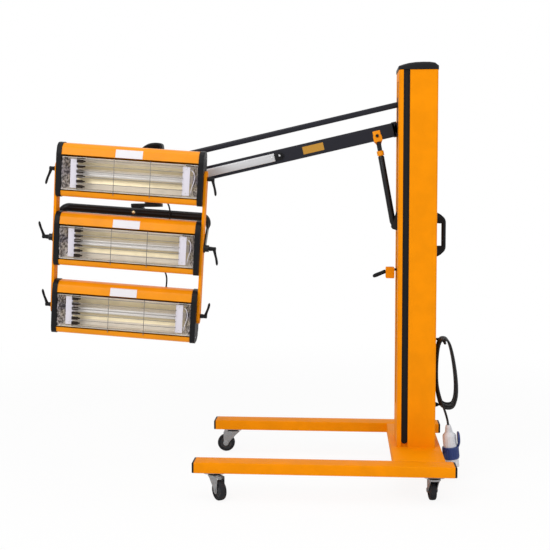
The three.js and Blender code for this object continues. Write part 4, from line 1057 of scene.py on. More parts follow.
@dataclass
class CordSet(Assembly):
    """The mains cord: out of the gland, round its hook in a hank, and down to the plug."""

    diameter: float = 9.0
    turns: float = 8.0
    pitch: float = 10.5
    top: Pair = (114.0, 529.5)
    top_radius: float = 29.0
    foot_radius: float = 44.0
    foot_shift: float = 17.0
    drop: float = 200.0
    sway: float = 5.0
    sway_rate: float = 2.4
    start_turn: float = -0.25
    steps: int = 40
    exit_x: float = 99.3
    plug_top: Point = (130.0, -44.0, 222.0)
    plug_lean: float = 6.0
    handle: float = 88.0
    plug_handle: float = 60.0
    plug_sink: float = 62.0
    hook_z: float = 548.0

    def hank_point(self, turns: float) -> Vector:
        """A point of the hank.

        Args:
            turns: how many turns have been wound there.

        Returns:
            The point in the column's frame.
        """
        angle = turns * 2 * math.pi
        sway = self.sway * math.sin(turns * self.sway_rate)
        up = smooth_step((1 + math.sin(angle)) / 2)
        radius = self.foot_radius + (self.top_radius - self.foot_radius) * up
        foot_x, foot_z = self.top[0] + self.foot_shift + sway / 2, self.top[1] - self.drop + sway
        x = foot_x + (self.top[0] - foot_x) * up + radius * math.cos(angle)
        z = foot_z + (self.top[1] - foot_z) * up + radius * math.sin(angle)
        return Vector((x, (self.turns / 2 - turns) * self.pitch, z))

    def route(self) -> list[Vector]:
        """The cord's middle line in the column's frame, from the gland to the plug.

        Returns:
            Its points.
        """
        first, last = self.start_turn, self.turns - 0.5
        count = round((last - first) * self.steps)
        hank = [self.hank_point(first + i / self.steps) for i in range(count + 1)]
        start = hank[0] - Vector((self.diameter, 0, 0))
        end = hank[-1] - Vector((0, 0, self.diameter))
        exit_point = Vector((self.exit_x, start.y, start.z))
        stub = [exit_point.lerp(start, i / 3) for i in range(3)]
        lean = math.radians(self.plug_lean)
        up = Vector((-math.sin(lean), 0, math.cos(lean)))
        top = Vector(self.plug_top)
        lead = bezier([end, end - Vector((0, 0, self.handle)), top + up * self.plug_handle,
                       top + up * 0.3], 24)
        return [*stub, start, *hank, *lead, *(top - up * self.plug_sink * i / 4 for i in range(1, 5))]

    def plug(self) -> list[bpy.types.Object]:
        """The industrial plug, hanging with its cord entry upwards.

        Returns:
            Its pieces.
        """
        frame = PLACES.column() @ placed(*self.plug_top, (0, -self.plug_lean, 0))
        body = Form()
        body.turned([(0, 0), (8.4, 0), (10, -1.6), (11.2, -14), (13.6, -26), (24.6, -38), (26, -41),
                     (26, -87), (0, -87)], Look.WHITE)
        for i in range(5):
            body.turned([(9.4 + i, -4 - i * 4.4), (11.4 + i * 0.8, -5 - i * 4.4),
                         (11.6 + i * 0.8, -7 - i * 4.4), (9.4 + i, -8 - i * 4.4)], Look.WHITE, ring=True)
        body.ribs(16, (25.2, -1.6, -84), (26.7, 1.6, -44), Look.WHITE, 0.6)
        collar = Form()
        collar.turned([(22, -86), (30.5, -86), (32, -88), (32, -132), (30.5, -134), (22, -134)], Look.BLUE,
                      ring=True)
        collar.ribs(24, (30.6, -1.7, -128), (32.9, 1.7, -92), Look.BLUE, 0.7)
        collar.rod((29, -9, -88), (29, 9, -88), 4.6, Look.BLUE, by=1.0, sides=24)
        lid = placed(30, 0, -86, (0, 3, 0))
        collar.rod((0, 0, 29), (7, 0, 29), 28, Look.BLUE, 27, by=2.2, sides=48, frame=lid)
        collar.rod((6.8, 0, 29), (8.6, 0, 29), 23, Look.BLUE, 21, by=0.6, sides=48, frame=lid)
        collar.box((-2, -7, -2), (6, 7, 8), Look.BLUE, 1.5, lid)
        shroud = Form()
        shroud.turned([(25, -168), (28, -167), (28, -134), (12, -134), (12, -128), (25, -128.5)], Look.WHITE,
                      ring=True)
        shroud.rod((0, 0, -129), (0, 0, -128), 25, Look.WHITE, by=0.2, sides=48)
        for angle in (i * 0.4 * math.pi for i in range(5)):
            x, y = 16 * math.cos(angle), 16 * math.sin(angle)
            shroud.rod((x, y, -160), (x, y, -125), 3, Look.BRASS, by=0.8, sides=20)
        parts = ((body, "plug_body", ["plug"]), (collar, "plug_collar", ()), (shroud, "plug_shroud", ()))
        return [self.bench.piece(form, name, "base", frame, "plug_blue", nodes)
                for form, name, nodes in parts]

    def flex(self, name: str, points: Sequence[Vector], diameter: float, frame: Matrix, body: str,
             stands_for: Sequence[str]) -> bpy.types.Object:
        """One round flex along a line.

        Args:
            name: the piece's name.
            points: its middle line, in millimetres of the frame.
            diameter: its diameter.
            frame: where the line is measured.
            body: the body that it rides on.
            stands_for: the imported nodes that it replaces.

        Returns:
            The curve.
        """
        data = bpy.data.curves.new(name, "CURVE")
        data.dimensions, data.bevel_depth, data.bevel_resolution = "3D", diameter / 2 * MM, 5
        data.use_fill_caps = True
        spline = data.splines.new("POLY")
        spline.points.add(len(points) - 1)
        for knot, point in zip(spline.points, points):
            knot.co = (*(frame @ point * MM), 1.0)
        spline.use_smooth = True
        data.materials.append(Look.CABLE.material())
        made = bpy.data.objects.new(name, data)
        bpy.context.scene.collection.objects.link(made)
        self.bench.ride(made, body, "cable_black", stands_for)
        return made

    def gland(self) -> None:
        """The tapered strain relief at the column's rear."""
        at = self.hank_point(self.start_turn)
        frame = PLACES.column() @ placed(0, at.y, at.z, (0, 90, 0))
        form = Form().turned([(4.6, 66.2), (11, 66.2), (11, 75.3), (13.2, 75.3), (14, 76), (14, 78.4),
                              (13.2, 79.3), (11, 83.3), (6.5, 98.4), (5.9, 99), (4.6, 99)], Look.PLASTIC,
                             ring=True)
        for i in range(4):
            radius, x = 10.3 - i * 1.2, 84.5 + i * 3.4
            form.turned([(radius - 1.6, x), (radius + 0.5, x), (radius + 0.2, x + 1.6),
                         (radius - 1.9, x + 1.6)], Look.PLASTIC, ring=True)
        form.ribs(12, (9.5, -1.2, 76.4), (13.6, 1.2, 79.0), Look.PLASTIC, 0.3)
        self.bench.piece(form, "cord_gland_ribbed", "base", frame, "black_plastic", ["cord_gland"])

    def build(self) -> None:
        route = self.route()
        frame = PLACES.column()
        plug = self.plug()
        made = self.flex("mains_cord", route, self.diameter, frame, "base",
                         ["power_cord", "cord_hank", "plug_lead"])
        length = run_length(route)
        frame @ route[0] * MM
        log.info("mains cord: %.3f m", length)
        self.gland()
        self.hook()

    def hook(self) -> None:
        """The bent rod that the hank hangs on, on its plate."""
        x, z = self.top[0], self.hook_z
        form = Form().box((75.3, 38, z - 28), (79.3, 72, z + 28), Look.BLACK, 1.2)
        bend = bezier([Vector(p) for p in ((96, 55, z), (109, 55, z), (x, 52, z), (x, 40, z))], 8)
        rise = bezier([Vector(p) for p in ((x, -50, z), (x, -56, z), (x, -57, z + 1), (x, -57, z + 8))], 6)
        path = [Vector((78, 55, z)), *bend, *rise, *(Vector((x, -57, z + up)) for up in (19, 21, 22))]
        taper = [4.6, 4.2, 3.8, 3.4, 3.0, 3.0, 2.4, 0.6]
        form.wire(path, [5.0] * (len(path) - len(taper)) + taper, Look.BLACK, 20)
        for up in (-19, 19):
            form.rod((79.2, 55, z + up), (82.4, 55, z + up), 4.4, Look.STEEL, by=1.2, sides=24)
        self.bench.piece(form, "cord_hook_bent", "base", PLACES.column(), "black_steel", ["cord_hook"])


# Base and column


@dataclass
class RollingBase(Assembly):
    """Two tube legs, the platform between them and four swivelling casters."""

    width: float = 80.0
    height: float = 40.0
    foot: float = 103.0
    front: float = -840.0
    rear: float = 126.0
    corner: float = 4.0
    cap: float = 6.0
    platform: float = 195.0
    wheel: float = 37.5
    axle: float = 32.0

    def leg(self, name: str, side: int) -> None:
        """One leg with its end caps, caster plates and their bolts.

        Args:
            name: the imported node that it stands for.
            side: -1 for the near leg and 1 for the far one.
        """
        y = side * PLACES.caster_spacing / 2
        half = self.width / 2
        top = self.foot + self.height
        frame = PLACES.column() @ placed(0, y, 0)
        form = Form().box((self.front, -half, self.foot), (self.rear, half, top), Look.ORANGE, self.corner,
                          segments=4)
        caps = Form()
        for end, outward in ((self.front, -1), (self.rear, 1)):
            span = sorted((end - outward * 4, end + outward * self.cap))
            caps.box((span[0], 0.5 - half, self.foot + 0.5), (span[1], half - 0.5, top - 0.5),
                     Look.PLASTIC, 3.6, segments=4)
        for x in reversed(PLACES.casters):
            form.box((x - 37, -28, 98.6), (x + 37, 28, 103.2), Look.ZINC, 1.0)
            race = [(0, 92.0), (22, 92.0), (25.4, 92.8), (27, 95), (27, 98.8), (0, 98.8)]
            form.turned(race, Look.PLASTIC, placed(x))
            for dx, dy in ((-28, -20), (28, -20), (-28, 20), (28, 20)):
                form.rod((x + dx, dy, 95.4), (x + dx, dy, 99), 6.2, Look.STEEL, by=0.6, sides=6)
        self.bench.piece(form, f"{name}_tube", "base", frame, "orange_steel", [name])
        self.bench.piece(caps, f"{name}_caps", "base", frame, "black_plastic")

    def bead(self, form: Form, points: Sequence[Point], size: float = 1.4, swell: float = 0.3,
             rate: float = 2.2) -> None:
        """Adds a weld bead that swells and narrows as a hand lays it.

        Args:
            form: the shape that it is added to.
            points: the points that it follows.
            size: its mean radius.
            swell: how much that changes.
            rate: how quickly it changes.
        """
        form.wire(points, [size + swell * math.sin(i * rate) for i in range(len(points))], Look.ORANGE, 8)

    def frame_work(self) -> None:
        """The platform, and the weld beads that join it to the legs and the column."""
        half_y = PLACES.caster_spacing / 2 - self.width / 2 - 0.3
        half_x = self.platform / 2
        top = self.foot + self.height
        form = Form().box((-half_x, -half_y, self.foot), (half_x, half_y, top), Look.ORANGE, self.corner,
                          segments=4)
        self.bench.piece(form, "platform_tube", "base", PLACES.column(), "orange_steel", ["base_platform"])
        beads = Form()
        for side in SIDES:
            for end in SIDES:
                x, y = end * (half_x - 0.4), side * (half_y + 0.2)
                points = [(x + 0.5 * math.sin(i * 1.9), y, self.foot + 4 + i * 1.6) for i in range(21)]
                self.bead(beads, points, 1.5, 0.35, 2.4)
        z = top + 0.6
        for side in SIDES:
            x, y = side * (PLACES.column_depth / 2 + 0.6), side * (PLACES.column_width / 2 + 0.6)
            self.bead(beads, [(-70 + i * 2.8, y, z) for i in range(51)])
            self.bead(beads, [(x, -94 + i * 3.2, z) for i in range(60)])
        self.bench.piece(beads, "weld_beads", "base", PLACES.column(), "orange_steel")

    def caster(self, name: str, end: int, side: int, trail: float) -> None:
        """One caster: a pressed fork, its axle bolt and a wheel.

        Args:
            name: which corner it is at.
            end: -1 at the front and 1 at the rear.
            side: -1 near and 1 far.
            trail: how far it has turned, in degrees.
        """
        frame = PLACES.caster(end, side, trail)
        fork = Form().node(self.bench.nodes[f"caster_fork_{name}"], Look.ZINC, frame)
        cheek = [(-24, 89.6), (43, 89.6), (43, 66), (41, 35), (37, 28), (27, 28), (21, 36), (4, 62),
                 (-20, 82)]
        x, z = self.axle, self.wheel
        for y in SIDES:
            fork.plate(cheek, 2.2, Look.ZINC, placed(0, y * 16.2 + 1.1, 0, (90, 0, 0)), 5.0, 0.6)
            fork.rod((x, y * 16.6, z), (x, y * 20.4, z), 6.6, Look.STEEL, by=0.7, sides=6)
            fork.turned([(0, 17.2), (11, 17.2), (11.6, 17.8), (10, 18.6), (0, 18.6)], Look.ZINC,
                        placed(x, 0, z, (-90 * y, 0, 0)))
        fork.turned([(0, 83.4), (9, 83.8), (12, 85.5), (12, 87), (0, 87)], Look.STEEL)
        self.bench.piece(fork, f"caster_fork_{name}_pressed", f"fork_{name}", frame, "zinc",
                         [f"caster_fork_{name}"], 0.7)
        wheel = Form()
        hub = frame @ placed(x, 0, z, (90, 0, 0))
        wheel.turned([(29, -12), (33, -12), (35.6, -10.6), (37.1, -7.5), (37.5, 0), (37.1, 7.5),
                      (35.6, 10.6), (33, 12), (29, 12), (27, 10.6), (27, -10.6)], Look.TYRE, steps=64,
                     ring=True)
        wheel.turned([(4.3, -11.9), (13, -11.9), (14.5, -10.8), (16, -7.6), (26, -6.6), (27.4, -9.4),
                      (27.4, 9.4), (26, 6.6), (16, 7.6), (14.5, 10.8), (13, 11.9), (4.3, 11.9)], Look.CORE,
                     steps=64, ring=True)
        wheel.ribs(6, (13.6, -1.2, -9), (27.2, 1.2, 9), Look.CORE, 0.5)
        self.bench.piece(wheel, f"caster_wheel_{name}_turned", f"wheel_{name}", hub, "caster_tyre",
                         [f"caster_wheel_{name}"])

    def build(self) -> None:
        """Makes the whole base."""
        self.leg("near_leg", -1)
        self.leg("far_leg", 1)
        self.frame_work()
        for name, end, side, trail in (("near_left", -1, -1, -52), ("near_right", 1, -1, 96),
                                       ("far_left", -1, 1, 180), ("far_right", 1, 1, 128)):
            self.caster(name, end, side, trail)


@dataclass
class Column(Assembly):
    """The folded column with its side strips, cap and push handle."""

    foot: float = 143.3
    height: float = 1470.0
    setback: float = 17.0
    channel: float = 25.0
    fold_side: float = 90.0
    fold_length: float = 1000.0
    fold_radius: float = 3.2
    strip_seat: float = 90.3
    handle_root: float = 77.8
    handle_foot: float = 903.825
    handle_span: float = 140.0
    handle_reach: float = 109.0
    handle_bend: float = 22.0

    def is_fold(self, edge: bmesh.types.BMEdge) -> bool:
        """Whether an edge is one of the shell's long outer folds.

        Args:
            edge: the edge.

        Returns:
            True where it is.
        """
        start, end = (v.co for v in edge.verts)
        long_and_outer = abs((start - end).z) > self.fold_length and abs(start.y) > self.fold_side
        return long_and_outer and len(edge.link_faces) == 2 and 0.6 < edge.calc_face_angle(0) < 1.0

    def shell(self) -> None:
        """The shell, its four long corners rounded as a press brake leaves them."""
        frame = PLACES.column()
        form = Form().node(self.bench.nodes["column_shell"], Look.ORANGE, frame)
        form.soften([e for e in form.mesh.edges if self.is_fold(e)], self.fold_radius, 4)
        self.bench.piece(form, "column_shell_folded", "base", frame, "orange_steel", ["column_shell"],
                         0.6, 30)

    def strips(self) -> None:
        """The black strips that close the side channels, each with a raised rib."""
        x = self.setback + self.channel / 2 - PLACES.column_depth / 2
        half = self.channel / 2 - 0.3
        top = self.height - 0.3
        outline = [(half, top), (-half, top)]
        angles = [i * math.pi / 16 for i in range(17)]
        outline += [(-half * math.cos(a), 14 + half - half * math.sin(a)) for a in angles]
        turn = Matrix.Rotation(math.radians(90), 4, "X")
        for name, side in (("near_channel_strip", -1), ("far_channel_strip", 1)):
            frame = PLACES.column() @ placed(x, side * self.strip_seat, self.foot)
            form = Form().plate(outline, 7, Look.PLASTIC, placed(0, 0 if side < 0 else 7) @ turn, by=0.8)
            low, high = sorted((side * 6.4, side * 7.9))
            for dx in (-5.5, 5.5):
                form.box((dx - 1.1, low, 40), (dx + 1.1, high, top - 3), Look.PLASTIC, 0.5, segments=1)
            self.bench.piece(form, name + "_ribbed", "base", frame, "black_plastic", [name])

    def handle(self) -> None:
        """The push handle: a bent grip with a ribbed middle, gussets and flared feet."""
        low, high = self.handle_foot, self.handle_foot + self.handle_span
        reach, bend = self.handle_reach, self.handle_bend
        path = upright([(self.handle_root, low)])
        for z, way in ((low, 1), (high, -1)):
            ends = [(reach - bend, z), (reach - bend * 0.45, z), (reach, z + bend * 0.45 * way),
                    (reach, z + bend * way)]
            path += bezier(upright(ends[::way]), 10)
        path += upright([(self.handle_root, high)])
        form = Form().wire(path, 9.0, Look.GRIP, 24)
        for i in range(11):
            z = low + 34 + i * 7.2
            rib = [(8.4, z - 1.7), (8.98, z - 1.1), (8.98, z + 1.1), (8.4, z + 1.7)]
            form.turned(rib, Look.GRIP, placed(reach), 24, True)
        gusset = [(75.6, 20), (84, 17), (94, 12), (103, 4.5), (109, -6), (113, -24), (99, -26), (75.6, -25)]
        flare = [(0, 75.3), (17.4, 75.3), (18, 76.4), (17, 79), (13.6, 84), (11, 90), (9.3, 97), (9, 99),
                 (0, 99)]
        for z, sign in ((low, -1), (high, 1)):
            form.plate([(x, dz * sign) for x, dz in gusset], 17, Look.GRIP, placed(0, 8.5, z, (90, 0, 0)),
                       4.0, 3.2)
            form.turned(flare, Look.GRIP, placed(0, 0, z, (0, 90, 0)))
        self.bench.piece(form, "push_handle_grip_piece", "base", PLACES.column(), "black_plastic",
                         ["push_handle"])

    def build(self) -> None:
        """Makes the column."""
        self.shell()
        self.strips()
        self.bench.dressed("column_cap", "base", Look.PLASTIC, "black_plastic", 0.8)
        self.handle()
        self.bench.dressed("counterweight", "counterweight", Look.IRON, "iron", 1.5)
        self.bench.dressed("rope_pulley", "rope_pulley", Look.STEEL, "bare_aluminium", 0.4)


# Carriage, arm and strut


@dataclass
class Lift(Assembly):
    """The carriage behind the column's slot, its lock and the spring strut."""

    face: float = -76.0
    split: float = 1290.0
    collar_end: float = 303.6

    def carriage(self) -> None:
        """The carriage, whose upper ears end inside the column's face."""
        frame = PLACES.column()
        form = Form().node(self.bench.nodes["carriage"], Look.BLACK, frame)
        bmesh.ops.bisect_plane(form.mesh, geom=form.everything(), dist=CUT, plane_co=(0, 0, self.split),
                               plane_no=(0, 0, 1))
        above = [f for f in form.mesh.faces if min(v.co.z for v in f.verts) > self.split - 0.01]
        geom = once([*(v for f in above for v in f.verts), *(e for f in above for e in f.edges), *above])
        form.cut((self.face, 0, 0), (-1, 0, 0), geom)
        form.claim(Look.BLACK)
        self.bench.piece(form, "carriage_trimmed", "carriage", frame, "black_steel", ["carriage"], 0.6)

    def lock(self) -> None:
        """The lock block and its gripped lever."""
        self.bench.dressed("lock_block", "carriage", Look.ORANGE, "orange_steel", 0.8)
        form = Form()
        form.wire([(5, 0, 0), (4, 0, 0), (-10, 0, 0), (-24, 0, 0)], [2.8, 3.0, 3.0, 3.0], Look.STEEL, 20)
        cap = [(0, -1.2), (5.5, -1), (6, 0), (6, 1.6), (5.4, 2.6), (0, 2.8)]
        form.turned(cap, Look.STEEL, placed(turns=(90, 0, 0)))
        grip = [(0, 18), (4.2, 18), (6.6, 18.4), (7.4, 20), (7.9, 26), (7.4, 34), (7.7, 44), (8.0, 56),
                (7.8, 64), (6.4, 70), (3.6, 73.2), (0, 74)]
        form.turned(grip, Look.GRIP, placed(turns=(0, -90, 0)))
        self.bench.piece(form, "lock_lever_gripped", "lock_lever", PLACES.lock_lever(), "black_plastic",
                         ["lock_lever"])

    def strut(self) -> None:
        """The strut's black tube and its rod with an orange collar and a clevis."""
        frame = PLACES.strut()
        tube = Form().node(self.bench.nodes["strut_cylinder"], Look.BLACK, frame)
        for z in (262, 274):
            tube.turned([(11.4, z - 1.6), (12.5, z - 0.8), (12.5, z + 0.8), (11.4, z + 1.6)], Look.BLACK,
                        ring=True)
        self.bench.piece(tube, "strut_cylinder_seamed", "strut_cylinder", frame, "black_steel",
                         ["strut_cylinder"], 0.5)
        rod = Form().node(self.bench.nodes["strut_rod"], Look.ORANGE, frame)
        rod.recolour(Look.BLACK, lambda middle: middle.z > self.collar_end)
        rod.turned([(8.6, 302.4), (12.6, 302.4), (12.6, 285.4), (12.9, 285), (13.4, 285), (13.7, 285.4),
                    (13.7, 302.6), (13, self.collar_end), (8.6, self.collar_end)], Look.SHEET, ring=True)
        self.bench.piece(rod, "strut_rod_clevis", "strut_rod", frame, "orange_steel", ["strut_rod"], 0.5)

    def build(self) -> None:
        """Makes the carriage, the lock and the strut."""
        self.carriage()
        self.lock()
        self.strut()


@dataclass
class ParallelArm(Assembly):
    """The two links, the cable cover and the strut's bracket."""

    cover_start: float = 510.0
    cover_length: float = 284.0
    label: Pair = (-396.0, -312.0)
    pad_bolt: Pair = (-98.0, -9.0)

    def cover(self) -> None:
        """The aluminium strip on the lower link, its end block and nut."""
        frame = PLACES.link(0) @ placed(-self.cover_start - self.cover_length, -17.3, 0)
        form = Form().box((0, -6, -16), (self.cover_length, 0, 16), Look.ALUMINIUM, 2.2, segments=4)
        for z in (-8, 8):
            form.box((1, -6.35, z - 0.8), (self.cover_length - 1, -5.6, z + 0.8), Look.ALUMINIUM, 0.2,
                     segments=1)
        for x in (10, self.cover_length - 12):
            form.rod((x, -5.8, 0), (x, -7.2, 0), 3.6, Look.STEEL, by=1.0, sides=24)
        end = self.cover_length
        form.box((end - 0.3, -11, -13.5), (end + 30, 0, 13.5), Look.PLASTIC, 2)
        form.rod((end + 29.7, -5.5, 0), (end + 36, -5.5, 0), 5.5, Look.PLASTIC, by=0.6, sides=6)
        form.rod((end + 20, -10.6, 2), (end + 20, -15, 2), 8.4, Look.PLASTIC, by=1.6, sides=32)
        # The small bright steel disc on the knob's face is a painted highlight: it stands in for the glint
        # on the black knob.
        form.rod((end + 20, -14.8, 2), (end + 20, -16, 2), 3.6, Look.STEEL, by=0.5, sides=24)
        self.bench.piece(form, "cable_cover_drawn", "lower_arm", frame, "bare_aluminium", ["cable_cover"])

    def links(self) -> None:
        """Both links with their bushes, and the blank label on the lower one."""
        low = PLACES.link(0)
        form = Form().node(self.bench.nodes["lower_arm"], Look.ARM, low)
        form.box((-34, -17, -29.9), (-13, 17, 29.9), Look.ARM, 2.0)
        self.bench.piece(form, "lower_arm_tube", "lower_arm", low, "arm_steel", ["lower_arm"], 0.8)
        label = Form().box((self.label[0], -17.6, -15), (self.label[1], -17.05, 15), Look.PATCH, 0.2,
                           segments=1)
        self.bench.piece(label, "arm_label_place", "lower_arm", low, "orange_sheet")
        high = PLACES.link(1)
        rod = Form().node(self.bench.nodes["tie_rod"], Look.ARM, high)
        self.bench.piece(rod, "tie_rod_bar", "tie_rod", high, "arm_steel", ["tie_rod"], 0.8)

    def build(self) -> None:
        """Makes the arm."""
        self.links()
        self.cover()
        self.bench.dressed("strut_bracket", "lower_arm", Look.SHEET, "orange_sheet", 0.6)
        pad = Form().box((-113, -20.4, -32), (-83, -16.9, 11), Look.SHEET, 1.4)
        x, z = self.pad_bolt
        pad.rod((x, -20.2, z), (x, -24.4, z), 7, Look.PLASTIC, by=0.6, sides=6)
        pad.rod((x, -24.2, z), (x, -26, z), 3.6, Look.PLASTIC, by=0.5, sides=24)
        self.bench.piece(pad, "strut_bracket_pad", "lower_arm", PLACES.link(0), "orange_sheet")


# Head


@dataclass
class Knuckle(Assembly):
    """The swivel at the arm's end, the bracket below it and the yoke."""

    hood_width: float = 76.0
    hood: tuple[Pair, ...] = ((-56, -16), (-56, 3), (-49, 11), (-40, 18), (-28, 26), (-13, 33.4), (2, 37),
                              (18, 38), (31, 37), (39, 33), (42, 26), (43, 17), (43, -16))
    nose: Point = (-10.0, 50.0, 0.62)
    tail: Point = (16.0, 34.0, 0.3)
    yoke_lean: float = 35.0253
    yoke_tube: float = 17.5
    yoke_bend: float = 34.0
    yoke_end: float = 265.0

    def cover(self, frame: Matrix) -> None:
        """The moulded hood over the swivel bearing.

        Args:
            frame: the bearing's top.
        """
        turn = placed(0, self.hood_width / 2, 0, (90, 0, 0))
        form = Form().plate(self.hood, self.hood_width, Look.PLASTIC, turn, by=8.0)
        form.cut((0, 0, 0), (0, 0, -1))
        for vert in form.mesh.verts:
            nose = smooth_step((self.nose[0] - vert.co.x) / self.nose[1])
            tail = smooth_step((vert.co.x - self.tail[0]) / self.tail[1])
            vert.co.y *= 1 - self.nose[2] * nose - self.tail[2] * tail
        form.claim(Look.PLASTIC)
        self.bench.piece(form, "knuckle_hood", "knuckle", frame, "black_plastic", ["knuckle_cover"])

    def yoke(self, frame: Matrix) -> None:
        """The yoke: a round tube whose drawn ends bend down into flat legs.

        Args:
            frame: the roll bolt's middle.
        """
        leaned = frame @ placed(turns=(-self.yoke_lean, 0, 0))
        form = Form().node(self.bench.nodes["yoke"], Look.BLACK, leaned)
        bend, end = self.yoke_bend, self.yoke_end
        for side in SIDES:
            path, sizes = [(side * (end - 30), 0, 0)], [self.yoke_tube - 0.1]
            for i in range(13):
                angle = i * math.pi / 24
                path.append((side * (end + bend * math.sin(angle)), 0, bend * (math.cos(angle) - 1)))
                sizes.append(self.yoke_tube - 7.5 * smooth_step(i / 12))
            path += [(side * (end + bend), 0, -bend - drop) for drop in (8, 16, 24)]
            form.wire(path, [*sizes, 8.0, 5.5, 3.1], Look.BLACK, 28)
        self.bench.piece(form, "yoke_tube", "yoke", leaned, "black_steel", ["yoke"], 0.6)

    def build(self) -> None:
        """Makes the knuckle, its cover, the bracket and the yoke."""
        column = PLACES.column()
        self.bench.dressed("knuckle", "knuckle", Look.ARM, "arm_steel", 0.8)
        self.cover(column @ placed(PLACES.swivel_x, 0, 1300.3))
        self.bench.dressed("head_bracket", "head_bracket", Look.BLACK, "black_steel", 0.8)
        roll = PLACES.roll_bolt()
        self.yoke(roll)
        bolt = Form().rod((0, -17, 0), (0, 57.9, 0), 7, Look.BRASS, by=1.2)
        washer = [(0, 0), (12.8, 0), (13, 0.6), (12.4, 2.4), (9, 3.2), (0, 3.2)]
        bolt.turned(washer, Look.BLACK, facing((0, -17.6, 0), (0, -40, 0)), 32)
        bolt.rod((0, -20.6, 0), (0, -26, 0), 6.9, Look.BRASS, by=0.8, sides=6)
        self.bench.piece(bolt, "roll_bolt_headed", "yoke", roll, "brass_bolt", ["roll_bolt"])


@dataclass
class Cassette(Assembly):
    """One lamp cassette: housing, end caps, reflector, twin tube and wire guard."""

    name: str
    row: int
    half: float = 285.0
    cap: float = 20.0
    lip: float = 2.5
    depth: float = 45.0
    height: float = 102.5
    wall: float = 2.5
    window: Pair = (-79.0, 58.0)
    label: Pair = (-56.0, 49.0)
    shares: tuple[Pair, ...] = ((-1, -0.77), (-0.9, -0.93), (-0.67, -1), (0.33, -1), (0.84, -0.86),
                                (1, -0.63), (1, 0.63), (0.82, 0.87), (0.4, 1), (-0.4, 1), (-0.82, 0.88),
                                (-1, 0.6))
    trough: tuple[Pair, ...] = ((-0.9, 0.93), (-0.1, 0.87), (0.36, 0.6), (0.55, 0.24), (0.55, -0.24),
                                (0.36, -0.6), (-0.1, -0.87), (-0.9, -0.93))
    foil: Pair = (96.0, 134.0)
    foil_lean: float = 24.0
    foil_inset: float = 19.0
    crumple: float = 3.4
    crumple_rate: float = 0.11
    plate_span: Pair = (204.0, 232.0)
    clip_pitch: float = 19.5
    wires: int = 6
    wire: float = 1.25
    guard_y: float = -44.55
    guard_bars: Pair = (-59.0, 82.0)

    @property
    def body(self) -> str:
        """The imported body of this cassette."""
        return f"{self.name}_cassette"

    @property
    def frame(self) -> Matrix:
        """The cassette's middle."""
        return PLACES.head(self.row)

    @property
    def middle(self) -> float:
        """The height of the window's middle."""
        return sum(self.window) / 2

    def keep(self, form: Form, part: str, slot: str, node: str = "") -> None:
        """Turns a form into a piece of this cassette.

        Args:
            form: the shape.
            part: the piece's name without the cassette's.
            slot: the record's material slot.
            node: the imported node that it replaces, without the cassette's name.
        """
        nodes = [f"{self.name}_{node}"] if node else ()
        self.bench.piece(form, f"{self.name}_{part}", self.body, self.frame, slot, nodes)

    def outline(self, grow: float) -> list[Pair]:
        """The housing's outline in Y and Z, grown by some millimetres."""
        return [(y * (self.depth + grow), z * (self.height + grow)) for y, z in self.shares]

    def housing(self) -> None:
        """The folded housing, its moulded end caps and the blank label."""
        reach = self.half - self.cap + 2
        form = Form().sheet(self.outline(0), (-reach, reach), self.wall, Look.SHEET, 4.4)
        self.keep(form, "housing_folded", "orange_sheet", "housing")
        caps = Form()
        for side in SIDES:
            turn = Matrix(((0, 0, side, side * (self.half - self.cap)), (1, 0, 0, 0), (0, 1, 0, 0),
                           (0, 0, 0, 1)))
            caps.plate(self.outline(self.lip), self.cap, Look.PLASTIC, turn, 8.0, 6.5, False)
            for y, z in ((-22, -82), (28, -74), (28, 76), (4, 88)):
                x = side * self.half
                caps.turned([(0, -0.4), (4.2, -0.4), (4.2, 0.9), (3.2, 1.8), (1.2, 2.1), (0, 1.3)],
                            Look.STEEL, facing((x - side * 1.7, y, z), (x + side, y, z)), 24)
        bmesh.ops.recalc_face_normals(caps.mesh, faces=caps.mesh.faces)
        self.keep(caps, "end_caps", "black_plastic")
        line = [(-45.35, 62.2), (-45.35, 63.4), (-37.3, 90.5), (-31.5, 93.4)]
        self.keep(Form().sheet(line, self.label, 0.5, Look.LABEL, 2.0), "label_place", "orange_sheet")

    def back(self) -> None:
        """The louvres on the back."""
        form = Form()
        for x in range(-180, 181, 45):
            for z in (30, 12):
                form.box((x - 14, 44.4, z), (x + 14, 46.6, z + 4), Look.SHEET, 0.9)
        self.keep(form, "louvres", "orange_sheet")

    def reflector(self) -> None:
        """The faceted trough with crinkled foil at both ends."""
        deep, high = self.depth, (self.window[1] - self.window[0]) / 2
        line = [(y * deep, self.middle + z * high) for y, z in self.trough]
        reach = self.half - self.cap - 0.6
        form = Form().sheet(line, (-reach, reach), 1.2, Look.SATIN, 1.5)
        form.recolour(Look.GOLD, lambda c: 0.22 * high < abs(c.z - self.middle) < 0.62 * high)
        lean = math.tan(math.radians(self.foil_lean))
        for side in SIDES:
            verts = bmesh.ops.create_grid(form.mesh, x_segments=18, y_segments=26, size=0.5)["verts"]
            for v in verts:
                y, z = v.co.x * self.foil[0], v.co.y * self.foil[1] + self.middle
                x = side * (reach - self.foil_inset - y * lean)
                seed = Vector((y * self.crumple_rate, z * self.crumple_rate, 7.3 * side + self.row))
                v.co = Vector((x + noise.noise(seed) * self.crumple, y, z))
            geom = once([*verts, *(e for v in verts for e in v.link_edges),
                         *(f for v in verts for f in v.link_faces)])
            outline = [*line, line[0]]
            for (ya, za), (yb, zb) in zip(outline, outline[1:]):
                away = Vector((0, zb - za, ya - yb))
                if Vector((0, -ya, self.middle - za)).dot(away) > 0:
                    away.negate()
                geom = form.cut((0, ya, za), away, geom, closed=False)
            form.claim(Look.SILVER)
        self.keep(form, "reflector_trough", "reflector_gold", "reflector")

